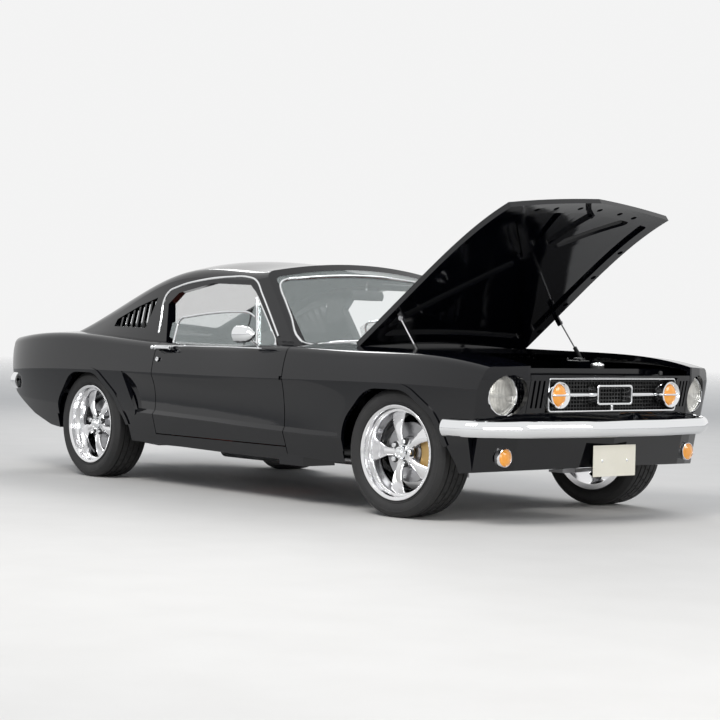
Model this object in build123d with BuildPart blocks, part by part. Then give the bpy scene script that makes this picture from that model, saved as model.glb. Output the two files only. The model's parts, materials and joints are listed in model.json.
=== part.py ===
from build123d import *
from collections import namedtuple
from math import atan2, cos, degrees, radians, sin, sqrt
import os

# Fastback coupe, millimetres. X forward, Y left, Z up, ground at z = 0,
# x = 0 at the middle of the overall length.

# Overall layout
WHEELBASE = 2743
FRONT_AXLE_X = 1495
REAR_AXLE_X = FRONT_AXLE_X - WHEELBASE
BUMPER_FRONT_X = 2306
BUMPER_REAR_X = -2306
PANEL_GAP = 6
SEAT_GAP = 0.3

# Tyres and wheels
TYRE_R = 317
TYRE_WIDTH = 225
RIM_R = 233.7
HALF_TRACK = 711
STEER_REST = 5.7
KINGPIN_Y = 600

# Wall thicknesses
SHELL_T = 25
ROOF_T = 35
GLASS_T = 6

# Lower body half sections, from nose to tail
Section = namedtuple(
    "Section",
    "x sill_y sill_z lip_y lip_z crease_y crease_z shoulder_y shoulder_z edge_y edge_z centre_z",
)
BODY_SECTIONS = [
    Section(2310, 730, 300, 752, 430, 775, 640, 755, 684, 700, 716, 752),
    Section(2100, 782, 262, 806, 400, 824, 645, 806, 716, 750, 760, 804),
    Section(1850, 802, 240, 838, 380, 854, 652, 832, 756, 776, 794, 826),
    Section(1450, 806, 225, 850, 365, 864, 656, 838, 770, 786, 806, 844),
    Section(900, 806, 222, 852, 368, 866, 652, 838, 776, 786, 814, 860),
    Section(200, 806, 228, 852, 388, 866, 646, 834, 780, 780, 812, 858),
    Section(-500, 806, 238, 852, 410, 864, 645, 832, 788, 776, 818, 862),
    Section(-1000, 808, 246, 852, 420, 867, 645, 838, 806, 782, 840, 872),
    Section(-1400, 808, 262, 850, 425, 868, 642, 844, 816, 790, 858, 884),
    Section(-1850, 800, 308, 836, 440, 856, 632, 836, 808, 782, 852, 884),
    Section(-2280, 725, 372, 745, 470, 760, 612, 748, 768, 702, 822, 856),
]

# Cabin upper half sections, from the windshield base to the tail
Upper = namedtuple("Upper", "x foot_y rail_y rail_z brow_y brow_z centre_z")
UPPER_SECTIONS = [
    Upper(780, 762, 660, 1128, 600, 1168, 1198),
    Upper(150, 762, 645, 1178, 575, 1226, 1272),
    Upper(-350, 762, 642, 1194, 570, 1246, 1303),
    Upper(-750, 762, 640, 1150, 560, 1204, 1290),
    Upper(-1100, 758, 645, 1030, 548, 1104, 1200),
    Upper(-1450, 750, 655, 905, 540, 980, 1052),
    Upper(-1780, 732, 668, 832, 535, 860, 894),
    Upper(-1980, 702, 655, 806, 520, 828, 852),
]
UPPER_FOOT_Z = 770

# Windshield: an arc in plan, carried up along its rake
SHIELD_BASE_X = 735
SHIELD_BASE_Z = 848
SHIELD_PLAN_R = 2150
SHIELD_RAKE = (-471, 0, 416)

# Steering wheel and its column
WHEEL_CENTRE = (330, 365, 775)
WHEEL_R = 185
COLUMN_DIR = (0.949, 0, -0.316)

# Doors
DOOR_FRONT_X = 672
DOOR_REAR_X = -530
DOOR_LOW_Z = 300
DOOR_INNER_Y = 716
CABIN_HALF = 712
DOOR_BELT_Z = 806

# Hood and its hinge
HOOD_REAR_X = 975
HOOD_HALF_REAR = 610
HOOD_HALF_FRONT = 570
HOOD_CORNER_X = 2224
HOOD_NOSE_X = 2298
HOOD_OPEN = 36.8
HOOD_GAP = 8
HINGE_BACK = 30
HINGE_X = HOOD_REAR_X - HINGE_BACK
HINGE_Z = 822
HOOD_T = 28
HOOD_SKIN = 12
HOOD_UNDER_Z = 710

# Gas struts that hold the hood: lower eye, upper eye with the hood open
STRUT_LOW = (1505, 694)
STRUT_HIGH = (1275, 975)
STRUT_Y = 584
TUBE_L = 192
TUBE_BORE_START = 22
ROD_L = 182
ROD_R = 4

# Trunk lid and its hinge
LID_FRONT_X = -1790
LID_REAR_X = -2218
LID_HALF_FRONT = 520
LID_HALF_REAR = 600
LID_GAP = 10

# Cabin, bay and trunk cavities
CABIN_FRONT_X = 770
FIREWALL_X = 800
BAY_HALF = 430
BAY_FRONT_X = 2010
SHELF_Z = 668
FLOOR_Z = 240
FLOOR_T = 8
TRUNK_FLOOR_Z = 430
TUB_INNER_Y = 575


def lower_half(inset=0.0, low=None):
    """Left half of the lower body, each side drawn in by the inset."""
    with BuildPart() as half:
        for s in BODY_SECTIONS:
            bottom = s.sill_z if low is None else low
            top_y = s.edge_y - inset
            top_z = s.edge_z - inset
            crown_z = s.centre_z - inset
            with BuildSketch(Plane.YZ.offset(s.x)):
                with BuildLine():
                    sill = (s.sill_y - inset, bottom)
                    lip = (s.lip_y - inset, s.lip_z)
                    crease = (s.crease_y - inset, s.crease_z)
                    shoulder = (s.shoulder_y - inset, s.shoulder_z - inset * 0.4)
                    edge = (top_y, top_z)
                    centre = (0, crown_z)
                    Polyline((0, bottom), sill, lip, crease)
                    flank = ((crease[0] + shoulder[0]) / 2 + 4, (crease[1] + shoulder[1]) / 2)
                    ThreePointArc(crease, flank, shoulder)
                    turn = (shoulder[0] * 0.7 + edge[0] * 0.3, shoulder[1] * 0.3 + edge[1] * 0.7)
                    ThreePointArc(shoulder, turn, edge)
                    crown = (top_y / 2, crown_z - (crown_z - top_z) / 4)
                    ThreePointArc(edge, crown, centre)
                    Line(centre, (0, bottom))
                make_face()
        loft()
    return half.part


def upper_half(inset=0.0, foot_z=UPPER_FOOT_Z):
    """Left half of the cabin's upper body, roof and side windows' plane."""
    with BuildPart() as half:
        for s in UPPER_SECTIONS:
            with BuildSketch(Plane.YZ.offset(s.x)):
                with BuildLine():
                    foot = (s.foot_y - inset, foot_z)
                    rail = (s.rail_y - inset, s.rail_z - inset * 0.6)
                    brow = (s.brow_y - inset * 0.6, s.brow_z - inset)
                    centre = (0, s.centre_z - inset)
                    Polyline((0, foot_z), foot, rail)
                    turn = (rail[0] * 0.62 + brow[0] * 0.38, rail[1] * 0.38 + brow[1] * 0.62)
                    ThreePointArc(rail, turn, brow)
                    crown = (brow[0] / 2, centre[1] - (centre[1] - brow[1]) / 4)
                    ThreePointArc(brow, crown, centre)
                    Line(centre, (0, foot_z))
                make_face()
        loft()
    return half.part


def other_side(piece):
    """The same piece on the right of the car."""
    return mirror(piece, about=Plane.XZ)


def keep(builder, name):
    """Label a finished piece and write it out."""
    builder.part.label = name
    export_step(builder.part, f"parts/{name}.step")


def nose_plan():
    """What lies ahead of the nose in plan."""
    with BuildSketch(Plane.XY.offset(NOSE_TIP_Z), mode=Mode.PRIVATE) as plan:
        with BuildLine():
            Polyline(*NOSE_LINE, (2500, 920), (2500, -10), close=True)
        make_face()
    return plan.sketch


def arch_outline(axle_x, points, radius, grow=0.0, out_y=950):
    """A wheel arch seen from the side, open below, drawn at a distance from the middle."""
    with BuildSketch(Plane.XZ.offset(-out_y), mode=Mode.PRIVATE) as outline:
        with BuildLine():
            FilletPolyline(
                *[(axle_x + x, TYRE_R + z) for x, z in points], radius=radius, close=True
            )
        make_face()
        if grow:
            offset(amount=grow)
    return outline.sketch


os.makedirs("parts", exist_ok=True)

# Nose in plan, from the middle of the hood's lip to the side of the fender
NOSE_TIP_Z = 690
NOSE_LEAN = (-0.2, 0, -1)
NOSE_LINE = [(2262, -10), (2188, 592), (2158, 690), (2112, 800), (2050, 920)]

# Wheel tubs, from each axle
TUB_OUT_Y = 830
FRONT_TUB = [(-352, -330), (-335, 165), (-130, 330), (120, 330), (318, 205), (440, -60), (440, -330)]
REAR_TUB = [(-360, -330), (-342, 150), (-140, 328), (140, 328), (342, 140), (372, -330)]
TUB_RADIUS = 90

# Arch lips in the outer panels, from each axle, and the raised edge round each
FRONT_LIP = [(-352, -560), (-340, 130), (-150, 310), (130, 310), (318, 190), (440, -60), (460, -560)]
FRONT_LIP_R = 200
REAR_LIP = [(-318, -560), (-312, 120), (-140, 310), (120, 310), (320, 175), (425, 35), (455, -560)]
REAR_LIP_R = 170
LIP_SET_BACK = 16
LIP_IN_Y = 838
FLARE_WIDTH = 30
FLARE_PROUD = 7

# Side cove, closed at the rear by a slanted rib
COVE_SECTIONS = [(-900, 24), (250, 18), (1180, 2)]
COVE_LEDGE = 24
SCOOP_TOP = (-844, 621)
SCOOP_LOW = (-722, 417)
RIB_WIDTH = 46
RIB_PROUD = 6


def section_at(x):
    """The body's widest and lower creases at x, between the two nearest sections."""
    for a, b in zip(BODY_SECTIONS, BODY_SECTIONS[1:]):
        if b.x <= x <= a.x:
            t = (x - a.x) / (b.x - a.x)
            return Section(*[p + (q - p) * t for p, q in zip(a, b)])


# Left half of the whole lower form, with nose, cove and arches cut
with BuildPart() as cove:
    for x, depth in COVE_SECTIONS:
        s = section_at(x)
        with BuildSketch(Plane.YZ.offset(x)):
            with BuildLine():
                top = (s.crease_y + 1, s.crease_z - 5)
                ledge = (s.lip_y - depth * 0.8, s.lip_z + COVE_LEDGE)
                hollow = ((top[0] + ledge[0]) / 2 - depth * 0.7, (top[1] + ledge[1]) / 2)
                Polyline(ledge, (s.lip_y + 1, s.lip_z), (920, s.lip_z), (920, s.crease_z - 5), top)
                ThreePointArc(top, hollow, ledge)
            make_face()
    loft()
    slope = (SCOOP_LOW[0] - SCOOP_TOP[0]) / (SCOOP_TOP[1] - SCOOP_LOW[1])
    with BuildSketch(Plane.XZ.offset(-950)):
        with BuildLine():
            Polyline(
                (SCOOP_TOP[0] - slope * 90, SCOOP_TOP[1] + 90),
                (SCOOP_LOW[0] + slope * 90, SCOOP_LOW[1] - 90),
                (-1000, SCOOP_LOW[1] - 90),
                (-1000, SCOOP_TOP[1] + 90),
                close=True,
            )
        make_face()
    extrude(amount=250, mode=Mode.SUBTRACT)

# Slanted rib that closes the cove
rib_turn = degrees(atan2(SCOOP_LOW[1] - SCOOP_TOP[1], SCOOP_LOW[0] - SCOOP_TOP[0]))
rib_length = sqrt((SCOOP_LOW[0] - SCOOP_TOP[0]) ** 2 + (SCOOP_LOW[1] - SCOOP_TOP[1]) ** 2)
with BuildPart() as rib:
    with BuildSketch(Plane.XZ.offset(-950)):
        with Locations(((SCOOP_TOP[0] + SCOOP_LOW[0]) / 2, (SCOOP_TOP[1] + SCOOP_LOW[1]) / 2)):
            SlotCenterToCenter(rib_length, RIB_WIDTH, rotation=rib_turn)
    extrude(amount=950 - LIP_IN_Y)
    add(lower_half(-RIB_PROUD), mode=Mode.INTERSECT)

front_tub = arch_outline(FRONT_AXLE_X, FRONT_TUB, TUB_RADIUS, out_y=TUB_OUT_Y)
rear_tub = arch_outline(REAR_AXLE_X, REAR_TUB, TUB_RADIUS, out_y=TUB_OUT_Y)

with BuildPart() as outer:
    add(lower_half())
    nose = nose_plan()
    extrude(nose, amount=320, mode=Mode.SUBTRACT)
    extrude(nose, amount=560, dir=NOSE_LEAN, mode=Mode.SUBTRACT)
    add(cove.part, mode=Mode.SUBTRACT)
    add(rib.part)
    extrude(front_tub, amount=TUB_OUT_Y - BAY_HALF - 8, mode=Mode.SUBTRACT)
    extrude(rear_tub, amount=TUB_OUT_Y - TUB_INNER_Y - 8, mode=Mode.SUBTRACT)
    for axle_x, lip, radius in (
        (FRONT_AXLE_X, FRONT_LIP, FRONT_LIP_R), (REAR_AXLE_X, REAR_LIP, REAR_LIP_R),
    ):
        opening = arch_outline(axle_x, lip, radius, grow=LIP_SET_BACK)
        extrude(opening, amount=950 - CABIN_HALF - 13, mode=Mode.SUBTRACT)


def flare(axle_x, lip, radius):
    """The raised edge round an arch lip, on the left."""
    with BuildPart() as ring:
        extrude(arch_outline(axle_x, lip, radius, grow=FLARE_WIDTH), amount=950 - LIP_IN_Y)
        extrude(arch_outline(axle_x, lip, radius), amount=950 - LIP_IN_Y, mode=Mode.SUBTRACT)
        add(lower_half(-FLARE_PROUD), mode=Mode.INTERSECT)
    return ring.part


# Left half of the cabin's upper form, cut along the windshield's surface
SHIELD_LOW_Z = 700


def shield_front(back=0.0):
    """What lies ahead of the windshield's outer face, as one raked solid."""
    rise = SHIELD_BASE_Z - SHIELD_LOW_Z
    middle = SHIELD_BASE_X - rise * SHIELD_RAKE[0] / SHIELD_RAKE[2] - back
    sag = SHIELD_PLAN_R - sqrt(SHIELD_PLAN_R**2 - 950**2)
    with BuildPart() as front:
        with BuildSketch(Plane.XY.offset(SHIELD_LOW_Z)):
            with BuildLine():
                ThreePointArc((middle - sag, -950), (middle, 0), (middle - sag, 950))
                Polyline((middle - sag, 950), (2400, 950), (2400, -950), (middle - sag, -950))
            make_face()
        extrude(amount=1100, dir=SHIELD_RAKE)
    return front.part


shield_cut = shield_front()
with BuildPart() as top:
    add(upper_half())
    add(shield_cut, mode=Mode.SUBTRACT)

with BuildPart() as top_core:
    add(upper_half(ROOF_T, foot_z=620))
    add(shield_cut, mode=Mode.SUBTRACT)

# Outlines on the side of the cabin, X and Z
DOOR_WINDOW = [
    (-560, 822), (-640, 1040), (-560, 1104), (-244, 1158), (112, 1146), (182, 1102), (470, 842),
    (500, 760), (-500, 760), (-500, 822),
]
DOOR_OUTLINE = [
    (DOOR_REAR_X, 840),
    (DOOR_REAR_X, DOOR_LOW_Z),
    (DOOR_FRONT_X, DOOR_LOW_Z),
    (DOOR_FRONT_X, 840),
]


def side_prism(points, y_low, y_high, grow=0.0, radius=0.0):
    """A side outline carried across the car between two distances from its middle."""
    with BuildPart() as prism:
        with BuildSketch(Plane.XZ.offset(-y_high)):
            with BuildLine():
                if radius:
                    FilletPolyline(*points, radius=radius, close=True)
                else:
                    Polyline(*points, close=True)
            make_face()
            if grow:
                offset(amount=grow, kind=Kind.INTERSECTION)
        extrude(amount=y_high - y_low)
    return prism.part


def plan_prism(points, z_low, z_high):
    """A plan outline carried up between two heights."""
    with BuildPart() as prism:
        with BuildSketch(Plane.XY.offset(z_low)):
            with BuildLine():
                Polyline(*points, close=True)
            make_face()
        extrude(amount=z_high - z_low)
    return prism.part


def block(x_low, x_high, y_low, y_high, z_low, z_high):
    """A plain block between two corners."""
    with BuildPart() as piece:
        with Locations(((x_low + x_high) / 2, (y_low + y_high) / 2, (z_low + z_high) / 2)):
            Box(x_high - x_low, y_high - y_low, z_high - z_low)
    return piece.part


core = lower_half(SHELL_T, -50)
hood_core = lower_half(HOOD_T, -50)

# Hood outline in plan, left half
HOOD_PLAN = [
    (HOOD_REAR_X, -1),
    (HOOD_REAR_X, HOOD_HALF_REAR),
    (HOOD_CORNER_X, HOOD_HALF_FRONT),
    (HOOD_NOSE_X, -1),
]
LID_PLAN = [
    (LID_FRONT_X, -1),
    (LID_FRONT_X, LID_HALF_FRONT),
    (LID_REAR_X, LID_HALF_REAR),
    (LID_REAR_X, -1),
]
HOOD_EDGE = [
    (HOOD_REAR_X - HOOD_GAP, HOOD_HALF_REAR + PANEL_GAP),
    (HOOD_CORNER_X + 90, HOOD_HALF_FRONT + PANEL_GAP - 2),
]


def edge_at(x):
    """How far from the middle the fender's edge beside the hood runs at x."""
    (rear_x, rear_y), (front_x, front_y) = HOOD_EDGE
    return rear_y + (front_y - rear_y) * (x - rear_x) / (front_x - rear_x)


# Hinges: two round ears end to end, one on the body and one on what swings
EAR_L = 14
EAR_R = 5
LID_AXIS = (LID_FRONT_X + 3, 880)
LID_EAR_Y = 300
HINGE_AXIS_X = DOOR_FRONT_X - 12
HINGE_AXIS_Y = 862
HINGE_LEVEL_Z = 650
DOOR_EAR_L = 8
DOOR_EAR_R = 3
TUNNEL_R = 120


def hinge_ear(axis, y, side):
    """An ear about a cross axis, with a foot ahead of it or behind it."""
    x, z = axis
    with BuildPart() as ear:
        with Locations(Location((x, y + EAR_L / 2, z), (90, 0, 0))):
            Cylinder(radius=EAR_R, height=EAR_L - SEAT_GAP)
        add(
            block(
                min(x, x + side * 22), max(x, x + side * 22),
                y + SEAT_GAP / 2, y + EAR_L - SEAT_GAP / 2, z - 22, z,
            )
        )
    return ear.part


# Front fender, left
LAMP_Y = 675
LAMP_Z = 619
LAMP_R = 89
LAMP_X = 2085
BUCKET_R = 97
LAMP_INNER_Y = 576
FACE_LOW_Z = 500
FACE_X = 2030

with BuildPart() as face:
    add(outer.part)
    add(block(FACE_X, 2400, -5, 920, 200, 760), mode=Mode.INTERSECT)
    add(Pos(-SHELL_T, 0, 0) * outer.part, mode=Mode.SUBTRACT)

with BuildPart() as fender_left:
    add(outer.part)
    add(core, mode=Mode.SUBTRACT)
    add(
        plan_prism(
            [
                (DOOR_FRONT_X + PANEL_GAP, HOOD_EDGE[0][1]),
                HOOD_EDGE[0],
                HOOD_EDGE[1],
                (2400, HOOD_EDGE[1][1]),
                (2400, 930),
                (DOOR_FRONT_X + PANEL_GAP, 930),
            ],
            100,
            950,
        ),
        mode=Mode.INTERSECT,
    )
    add(face.part & block(FACE_X, 2400, LAMP_INNER_Y, 930, FACE_LOW_Z, 760))
    # the hood's edge passes above the inner edge of the face
    add(
        plan_prism([(FACE_X, 500), HOOD_EDGE[1], (2400, 500)], HOOD_UNDER_Z, 950)
        + plan_prism([(FACE_X, 500), (FACE_X, edge_at(FACE_X)), HOOD_EDGE[1]], HOOD_UNDER_Z, 950),
        mode=Mode.SUBTRACT,
    )
    add(flare(FRONT_AXLE_X, FRONT_LIP, FRONT_LIP_R))
    with Locations(Location((LAMP_X + 20, LAMP_Y, LAMP_Z), (0, 90, 0))):
        Cylinder(radius=BUCKET_R, height=300, mode=Mode.SUBTRACT)
    add(block(FACE_X, 2400, 0, 930, 0, FACE_LOW_Z), mode=Mode.SUBTRACT)
    # room for the door hinge's arm
    add(
        block(
            DOOR_FRONT_X, DOOR_FRONT_X + 31, 700, HINGE_AXIS_Y - 0.5,
            HINGE_LEVEL_Z - 2, HINGE_LEVEL_Z + DOOR_EAR_L + 2,
        ),
        mode=Mode.SUBTRACT,
    )
keep(fender_left, "fender_left")

# Hood, stored open: a skin on a frame with braces that run out from one hub
BRACE_HUB = (1740, 0)
BRACE_W = 46
HUB_PLATE_R = 74
FRAME_CORNERS = [(2205, 0), (2196, 130), (2162, 440), (2148, 533), (1040, 568)]
FRAME_HOLES = [(1150, 576), (1400, 568), (1650, 560), (1880, 553), (2222, 70), (2208, 230), (2190, 350)]
POCKET_CORNER_R = 22
nose_middle, front_brace, side_brace, front_corner, rear_corner = FRAME_CORNERS
with BuildPart() as hood_pockets:
    with BuildSketch(Plane.XY.offset(600)):
        for corners in (
            [BRACE_HUB, front_brace, side_brace],
            [BRACE_HUB, side_brace, front_corner, rear_corner],
            [BRACE_HUB, rear_corner, (rear_corner[0], -rear_corner[1])],
            [BRACE_HUB, (front_brace[0], -front_brace[1]), nose_middle, front_brace],
        ):
            with BuildSketch(mode=Mode.PRIVATE) as pocket:
                with BuildLine():
                    Polyline(*corners, close=True)
                make_face()
                offset(amount=-BRACE_W / 2, kind=Kind.INTERSECTION)
                with Locations(BRACE_HUB):
                    Circle(HUB_PLATE_R, mode=Mode.SUBTRACT)
                fillet(pocket.vertices(), radius=POCKET_CORNER_R)
            add(pocket.sketch)
        with Locations(*FRAME_HOLES):
            Circle(15)
        mirror(about=Plane.XZ)
    extrude(amount=350)
    add(lower_half(HOOD_SKIN, -50), mode=Mode.INTERSECT)
with BuildPart() as hood_flat:
    add(lower_half())
    add(hood_core, mode=Mode.SUBTRACT)
    add(plan_prism(HOOD_PLAN, 600, 950), mode=Mode.INTERSECT)
    add(hood_pockets.part, mode=Mode.SUBTRACT)
    mirror(about=Plane.XZ)
hood_axis = Axis((HINGE_X, 0, HINGE_Z), (0, 1, 0))
HOOD_HINGE_Y = 560
open_turn = radians(HOOD_OPEN)
reach_x = STRUT_HIGH[0] - HINGE_X
reach_z = STRUT_HIGH[1] - HINGE_Z
shut_x = HINGE_X + reach_x * cos(open_turn) + reach_z * sin(open_turn)
shut_z = HINGE_Z - reach_x * sin(open_turn) + reach_z * cos(open_turn)
with BuildPart() as hood_closed:
    add(hood_flat.part)
    # hinge arms under the rear corners, each with its knuckle
    for side in (1, -1):
        add(block(HINGE_X, HOOD_REAR_X + 90, side * HOOD_HINGE_Y - 6, side * HOOD_HINGE_Y + 6, 808, 818))
        lug_y = side * (STRUT_Y - 11 - SEAT_GAP)
        add(block(shut_x - 14, shut_x + 14, lug_y - 6, lug_y + 6, shut_z - 12, shut_z + 60))
        with Locations(Location((HINGE_X, side * HOOD_HINGE_Y, HINGE_Z), (90, 0, 0))):
            Cylinder(radius=11, height=12)
            Cylinder(radius=6 + SEAT_GAP, height=14, mode=Mode.SUBTRACT)
    # latch hook under the front edge
    add(block(2200, 2224, -8, 8, HOOD_UNDER_Z + 2, 754))
with BuildPart() as hood:
    add(hood_closed.part.rotate(hood_axis, -HOOD_OPEN))
keep(hood, "hood")


# Body shell: sills, quarters, tail, roof, pillars and cowl
TAIL_LINE = [
    (-2226, 960), (-2226, 838), (-2260, 740), (-2236, 650), (-2165, 480),
    (-1900, 350), (-1620, 262), (-1620, 100), (-2500, 100), (-2500, 960),
]
REAR_WINDOW = [(-1010, 470), (-1690, 430)]
LOUVRE_OPENING = [(-1195, 905), (-815, 898), (-775, 1078), (-975, 1024), (-1190, 948)]
TUB_REAR_X = REAR_AXLE_X - 372
TUB_FRONT_X = REAR_AXLE_X + 372
BULKHEAD_X = -1120
BULKHEAD_T = 10

TAIL_LAMP_YS = (600, 642, 684)
TAIL_LAMP_W = 30
TAIL_LAMP_H = 112
TAIL_LAMP_Z = 680
TAIL_LAMP_X = -2270

with BuildPart() as shell_half:
    add(outer.part)
    add(
        plan_prism(
            [
                (-2400, -5), (-2400, 930), (DOOR_FRONT_X, 930),
                (DOOR_FRONT_X, HOOD_HALF_REAR), (HOOD_REAR_X - HOOD_GAP, HOOD_HALF_REAR),
                (HOOD_REAR_X - HOOD_GAP, -5),
            ],
            150, 950,
        ),
        mode=Mode.INTERSECT,
    )
    add(flare(REAR_AXLE_X, REAR_LIP, REAR_LIP_R))
    add(top.part)
    # cabin, open below for the floor pan
    add(block(TUB_FRONT_X, CABIN_FRONT_X, -5, CABIN_HALF, -10, 788), mode=Mode.SUBTRACT)
    add(block(BULKHEAD_X, TUB_FRONT_X + 5, -5, TUB_INNER_Y, -10, 788), mode=Mode.SUBTRACT)
    add(block(BULKHEAD_X, TUB_FRONT_X + 5, -5, 690, 660, 788), mode=Mode.SUBTRACT)
    add(block(FIREWALL_X, 1000, -5, 900, -10, 800), mode=Mode.SUBTRACT)
    add(top_core.part, mode=Mode.SUBTRACT)
    # trunk, with the wheel tubs left standing beside it, and the open space below its floor
    trunk_back = BULKHEAD_X - BULKHEAD_T
    add(core & block(-2195, trunk_back, -5, TUB_INNER_Y, TRUNK_FLOOR_Z, 900), mode=Mode.SUBTRACT)
    add(core & block(-2195, TUB_REAR_X - 12, -5, 735, TRUNK_FLOOR_Z, 900), mode=Mode.SUBTRACT)
    add(block(-2150, trunk_back, -5, TUB_INNER_Y, -10, TRUNK_FLOOR_Z - FLOOR_T), mode=Mode.SUBTRACT)
    add(block(-2150, TUB_REAR_X - 12, -5, 735, -10, TRUNK_FLOOR_Z - FLOOR_T), mode=Mode.SUBTRACT)
    add(block(-1620, trunk_back, TUB_INNER_Y - 5, TUB_INNER_Y + 15, -10, TRUNK_FLOOR_Z - FLOOR_T), mode=Mode.SUBTRACT)
    add(side_prism(TAIL_LINE, -10, 930), mode=Mode.SUBTRACT)
    # door opening, door window, rear window, louvre opening and trunk opening
    add(
        side_prism(DOOR_OUTLINE, DOOR_INNER_Y + 26, 930, grow=PANEL_GAP),
        mode=Mode.SUBTRACT,
    )
    add(
        side_prism([(x, min(z, 766)) for x, z in DOOR_OUTLINE], 700, 930, grow=PANEL_GAP),
        mode=Mode.SUBTRACT,
    )
    add(side_prism(DOOR_WINDOW, 560, 800), mode=Mode.SUBTRACT)
    add(
        plan_prism([(x, y) for x, y in REAR_WINDOW] + [(x, -5) for x, y in REAR_WINDOW[::-1]], 700, 1400),
        mode=Mode.SUBTRACT,
    )
    add(side_prism(LOUVRE_OPENING, 560, 800), mode=Mode.SUBTRACT)
    lid_gap = [
        (LID_FRONT_X + LID_GAP, -5),
        (LID_FRONT_X + LID_GAP, LID_HALF_FRONT + PANEL_GAP),
        (LID_REAR_X - PANEL_GAP, LID_HALF_REAR + PANEL_GAP),
        (LID_REAR_X - PANEL_GAP, -5),
    ]
    add(plan_prism(lid_gap, 700, 950), mode=Mode.SUBTRACT)
    for y in TAIL_LAMP_YS:
        add(
            block(
                TAIL_LAMP_X, -2150, y - TAIL_LAMP_W / 2, y + TAIL_LAMP_W / 2,
                TAIL_LAMP_Z - TAIL_LAMP_H / 2, TAIL_LAMP_Z + TAIL_LAMP_H / 2,
            ),
            mode=Mode.SUBTRACT,
        )
    # channel behind the hood's rear edge, where that edge swings
    add(
        (outer.part & block(HINGE_X + 3, HOOD_REAR_X, -5, HOOD_HALF_REAR + 10, 700, 950)) - hood_core,
        mode=Mode.SUBTRACT,
    )
    # pocket and pin for the hood's hinge arm
    add(
        block(HINGE_X - 22, HOOD_REAR_X, HOOD_HINGE_Y - 16, HOOD_HINGE_Y + 16, 700, 860),
        mode=Mode.SUBTRACT,
    )
    with Locations(Location((HINGE_X, HOOD_HINGE_Y, HINGE_Z), (90, 0, 0))):
        Cylinder(radius=6, height=32)
    # nothing hangs below the floor at the firewall
    add(block(CABIN_FRONT_X - 5, FIREWALL_X + 5, -5, 700, -10, FLOOR_Z), mode=Mode.SUBTRACT)
    # way through for gearbox and driveshaft
    with Locations(Location((780, 0, FLOOR_Z + 40), (0, 90, 0))):
        Cylinder(radius=TUNNEL_R - 6, height=60, mode=Mode.SUBTRACT)
    with Locations(Location((trunk_back, 0, FLOOR_Z + 40), (0, 90, 0))):
        Cylinder(radius=TUNNEL_R - 6, height=60, mode=Mode.SUBTRACT)
    add(block(750, 810, -5, TUNNEL_R - 6, 100, FLOOR_Z + 40), mode=Mode.SUBTRACT)
    add(block(trunk_back - 30, BULKHEAD_X + 30, -5, TUNNEL_R - 6, 100, FLOOR_Z + 40), mode=Mode.SUBTRACT)
    # body side of the trunk lid's hinge and of the door's hinge
    add(hinge_ear(LID_AXIS, LID_EAR_Y + EAR_L, 1))
    ear_low = HINGE_LEVEL_Z + SEAT_GAP
    ear_high = HINGE_LEVEL_Z + DOOR_EAR_L
    add(block(HINGE_AXIS_X, DOOR_FRONT_X + 30, HINGE_AXIS_Y - 8, HINGE_AXIS_Y - 1, ear_low, ear_high))
    with Locations((HINGE_AXIS_X, HINGE_AXIS_Y, (ear_low + ear_high) / 2)):
        Cylinder(radius=DOOR_EAR_R, height=ear_high - ear_low)
    add(block(DOOR_FRONT_X + PANEL_GAP, DOOR_FRONT_X + 30, 720, HINGE_AXIS_Y - 2, ear_low, ear_high))
    # hinge posts behind the fender, joining sill, cowl and firewall
    posts = (
        block(DOOR_FRONT_X + PANEL_GAP, FIREWALL_X, CABIN_HALF, 900, 200, 800)
        + block(CABIN_FRONT_X, FIREWALL_X, 600, 900, 200, 800)
        + block(600, FIREWALL_X, CABIN_HALF, 900, 200, DOOR_LOW_Z - PANEL_GAP)
    )
    add(core & posts)
with BuildPart() as whole_shell:
    add(shell_half.part)
    mirror(about=Plane.XZ)

# The shell is stored as the panels that it is welded from: roof with its pillars, quarters,
# and what is left of it
ROOF_LOW_Z = 870
QUARTER_FRONT_X = DOOR_REAR_X + 25
QUARTER_IN_Y = TUB_INNER_Y - 20
roof_zone = block(-2400, 1000, -5, 930, ROOF_LOW_Z, 1400)
quarter_zone = block(-2400, QUARTER_FRONT_X, QUARTER_IN_Y, 930, 100, ROOF_LOW_Z)
with BuildPart() as roof:
    add(shell_half.part)
    add(roof_zone, mode=Mode.INTERSECT)
    mirror(about=Plane.XZ)
keep(roof, "roof")
with BuildPart() as quarter_left:
    add(shell_half.part)
    add(quarter_zone, mode=Mode.INTERSECT)
keep(quarter_left, "quarter_left")
with BuildPart() as body_shell:
    add(shell_half.part)
    add(roof_zone, mode=Mode.SUBTRACT)
    add(quarter_zone, mode=Mode.SUBTRACT)
    mirror(about=Plane.XZ)
keep(body_shell, "body_shell")


# Doors: a slab as thick as the whole door, its top open for the glass
GLASS_SLOPE = (762 - 645) / (1178 - UPPER_FOOT_Z)
GLASS_BELT_Y = 742
GLASS_LOW_Z = 570
GLASS_FRONT_X = 166
SLOT_T = GLASS_T - 1 + 2 * SEAT_GAP
VENT_POINTS = [(178, 790), (178, 1086), (455, 842), (470, 790)]
PANE_POINTS = [
    (-488, 575), (-488, 832), (-550, 850), (-556, 930), (-493, 956), (-423, 966), (-191, 989),
    (40, 998), (150, 992), (GLASS_FRONT_X, 975), (GLASS_FRONT_X, 575),
]


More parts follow.
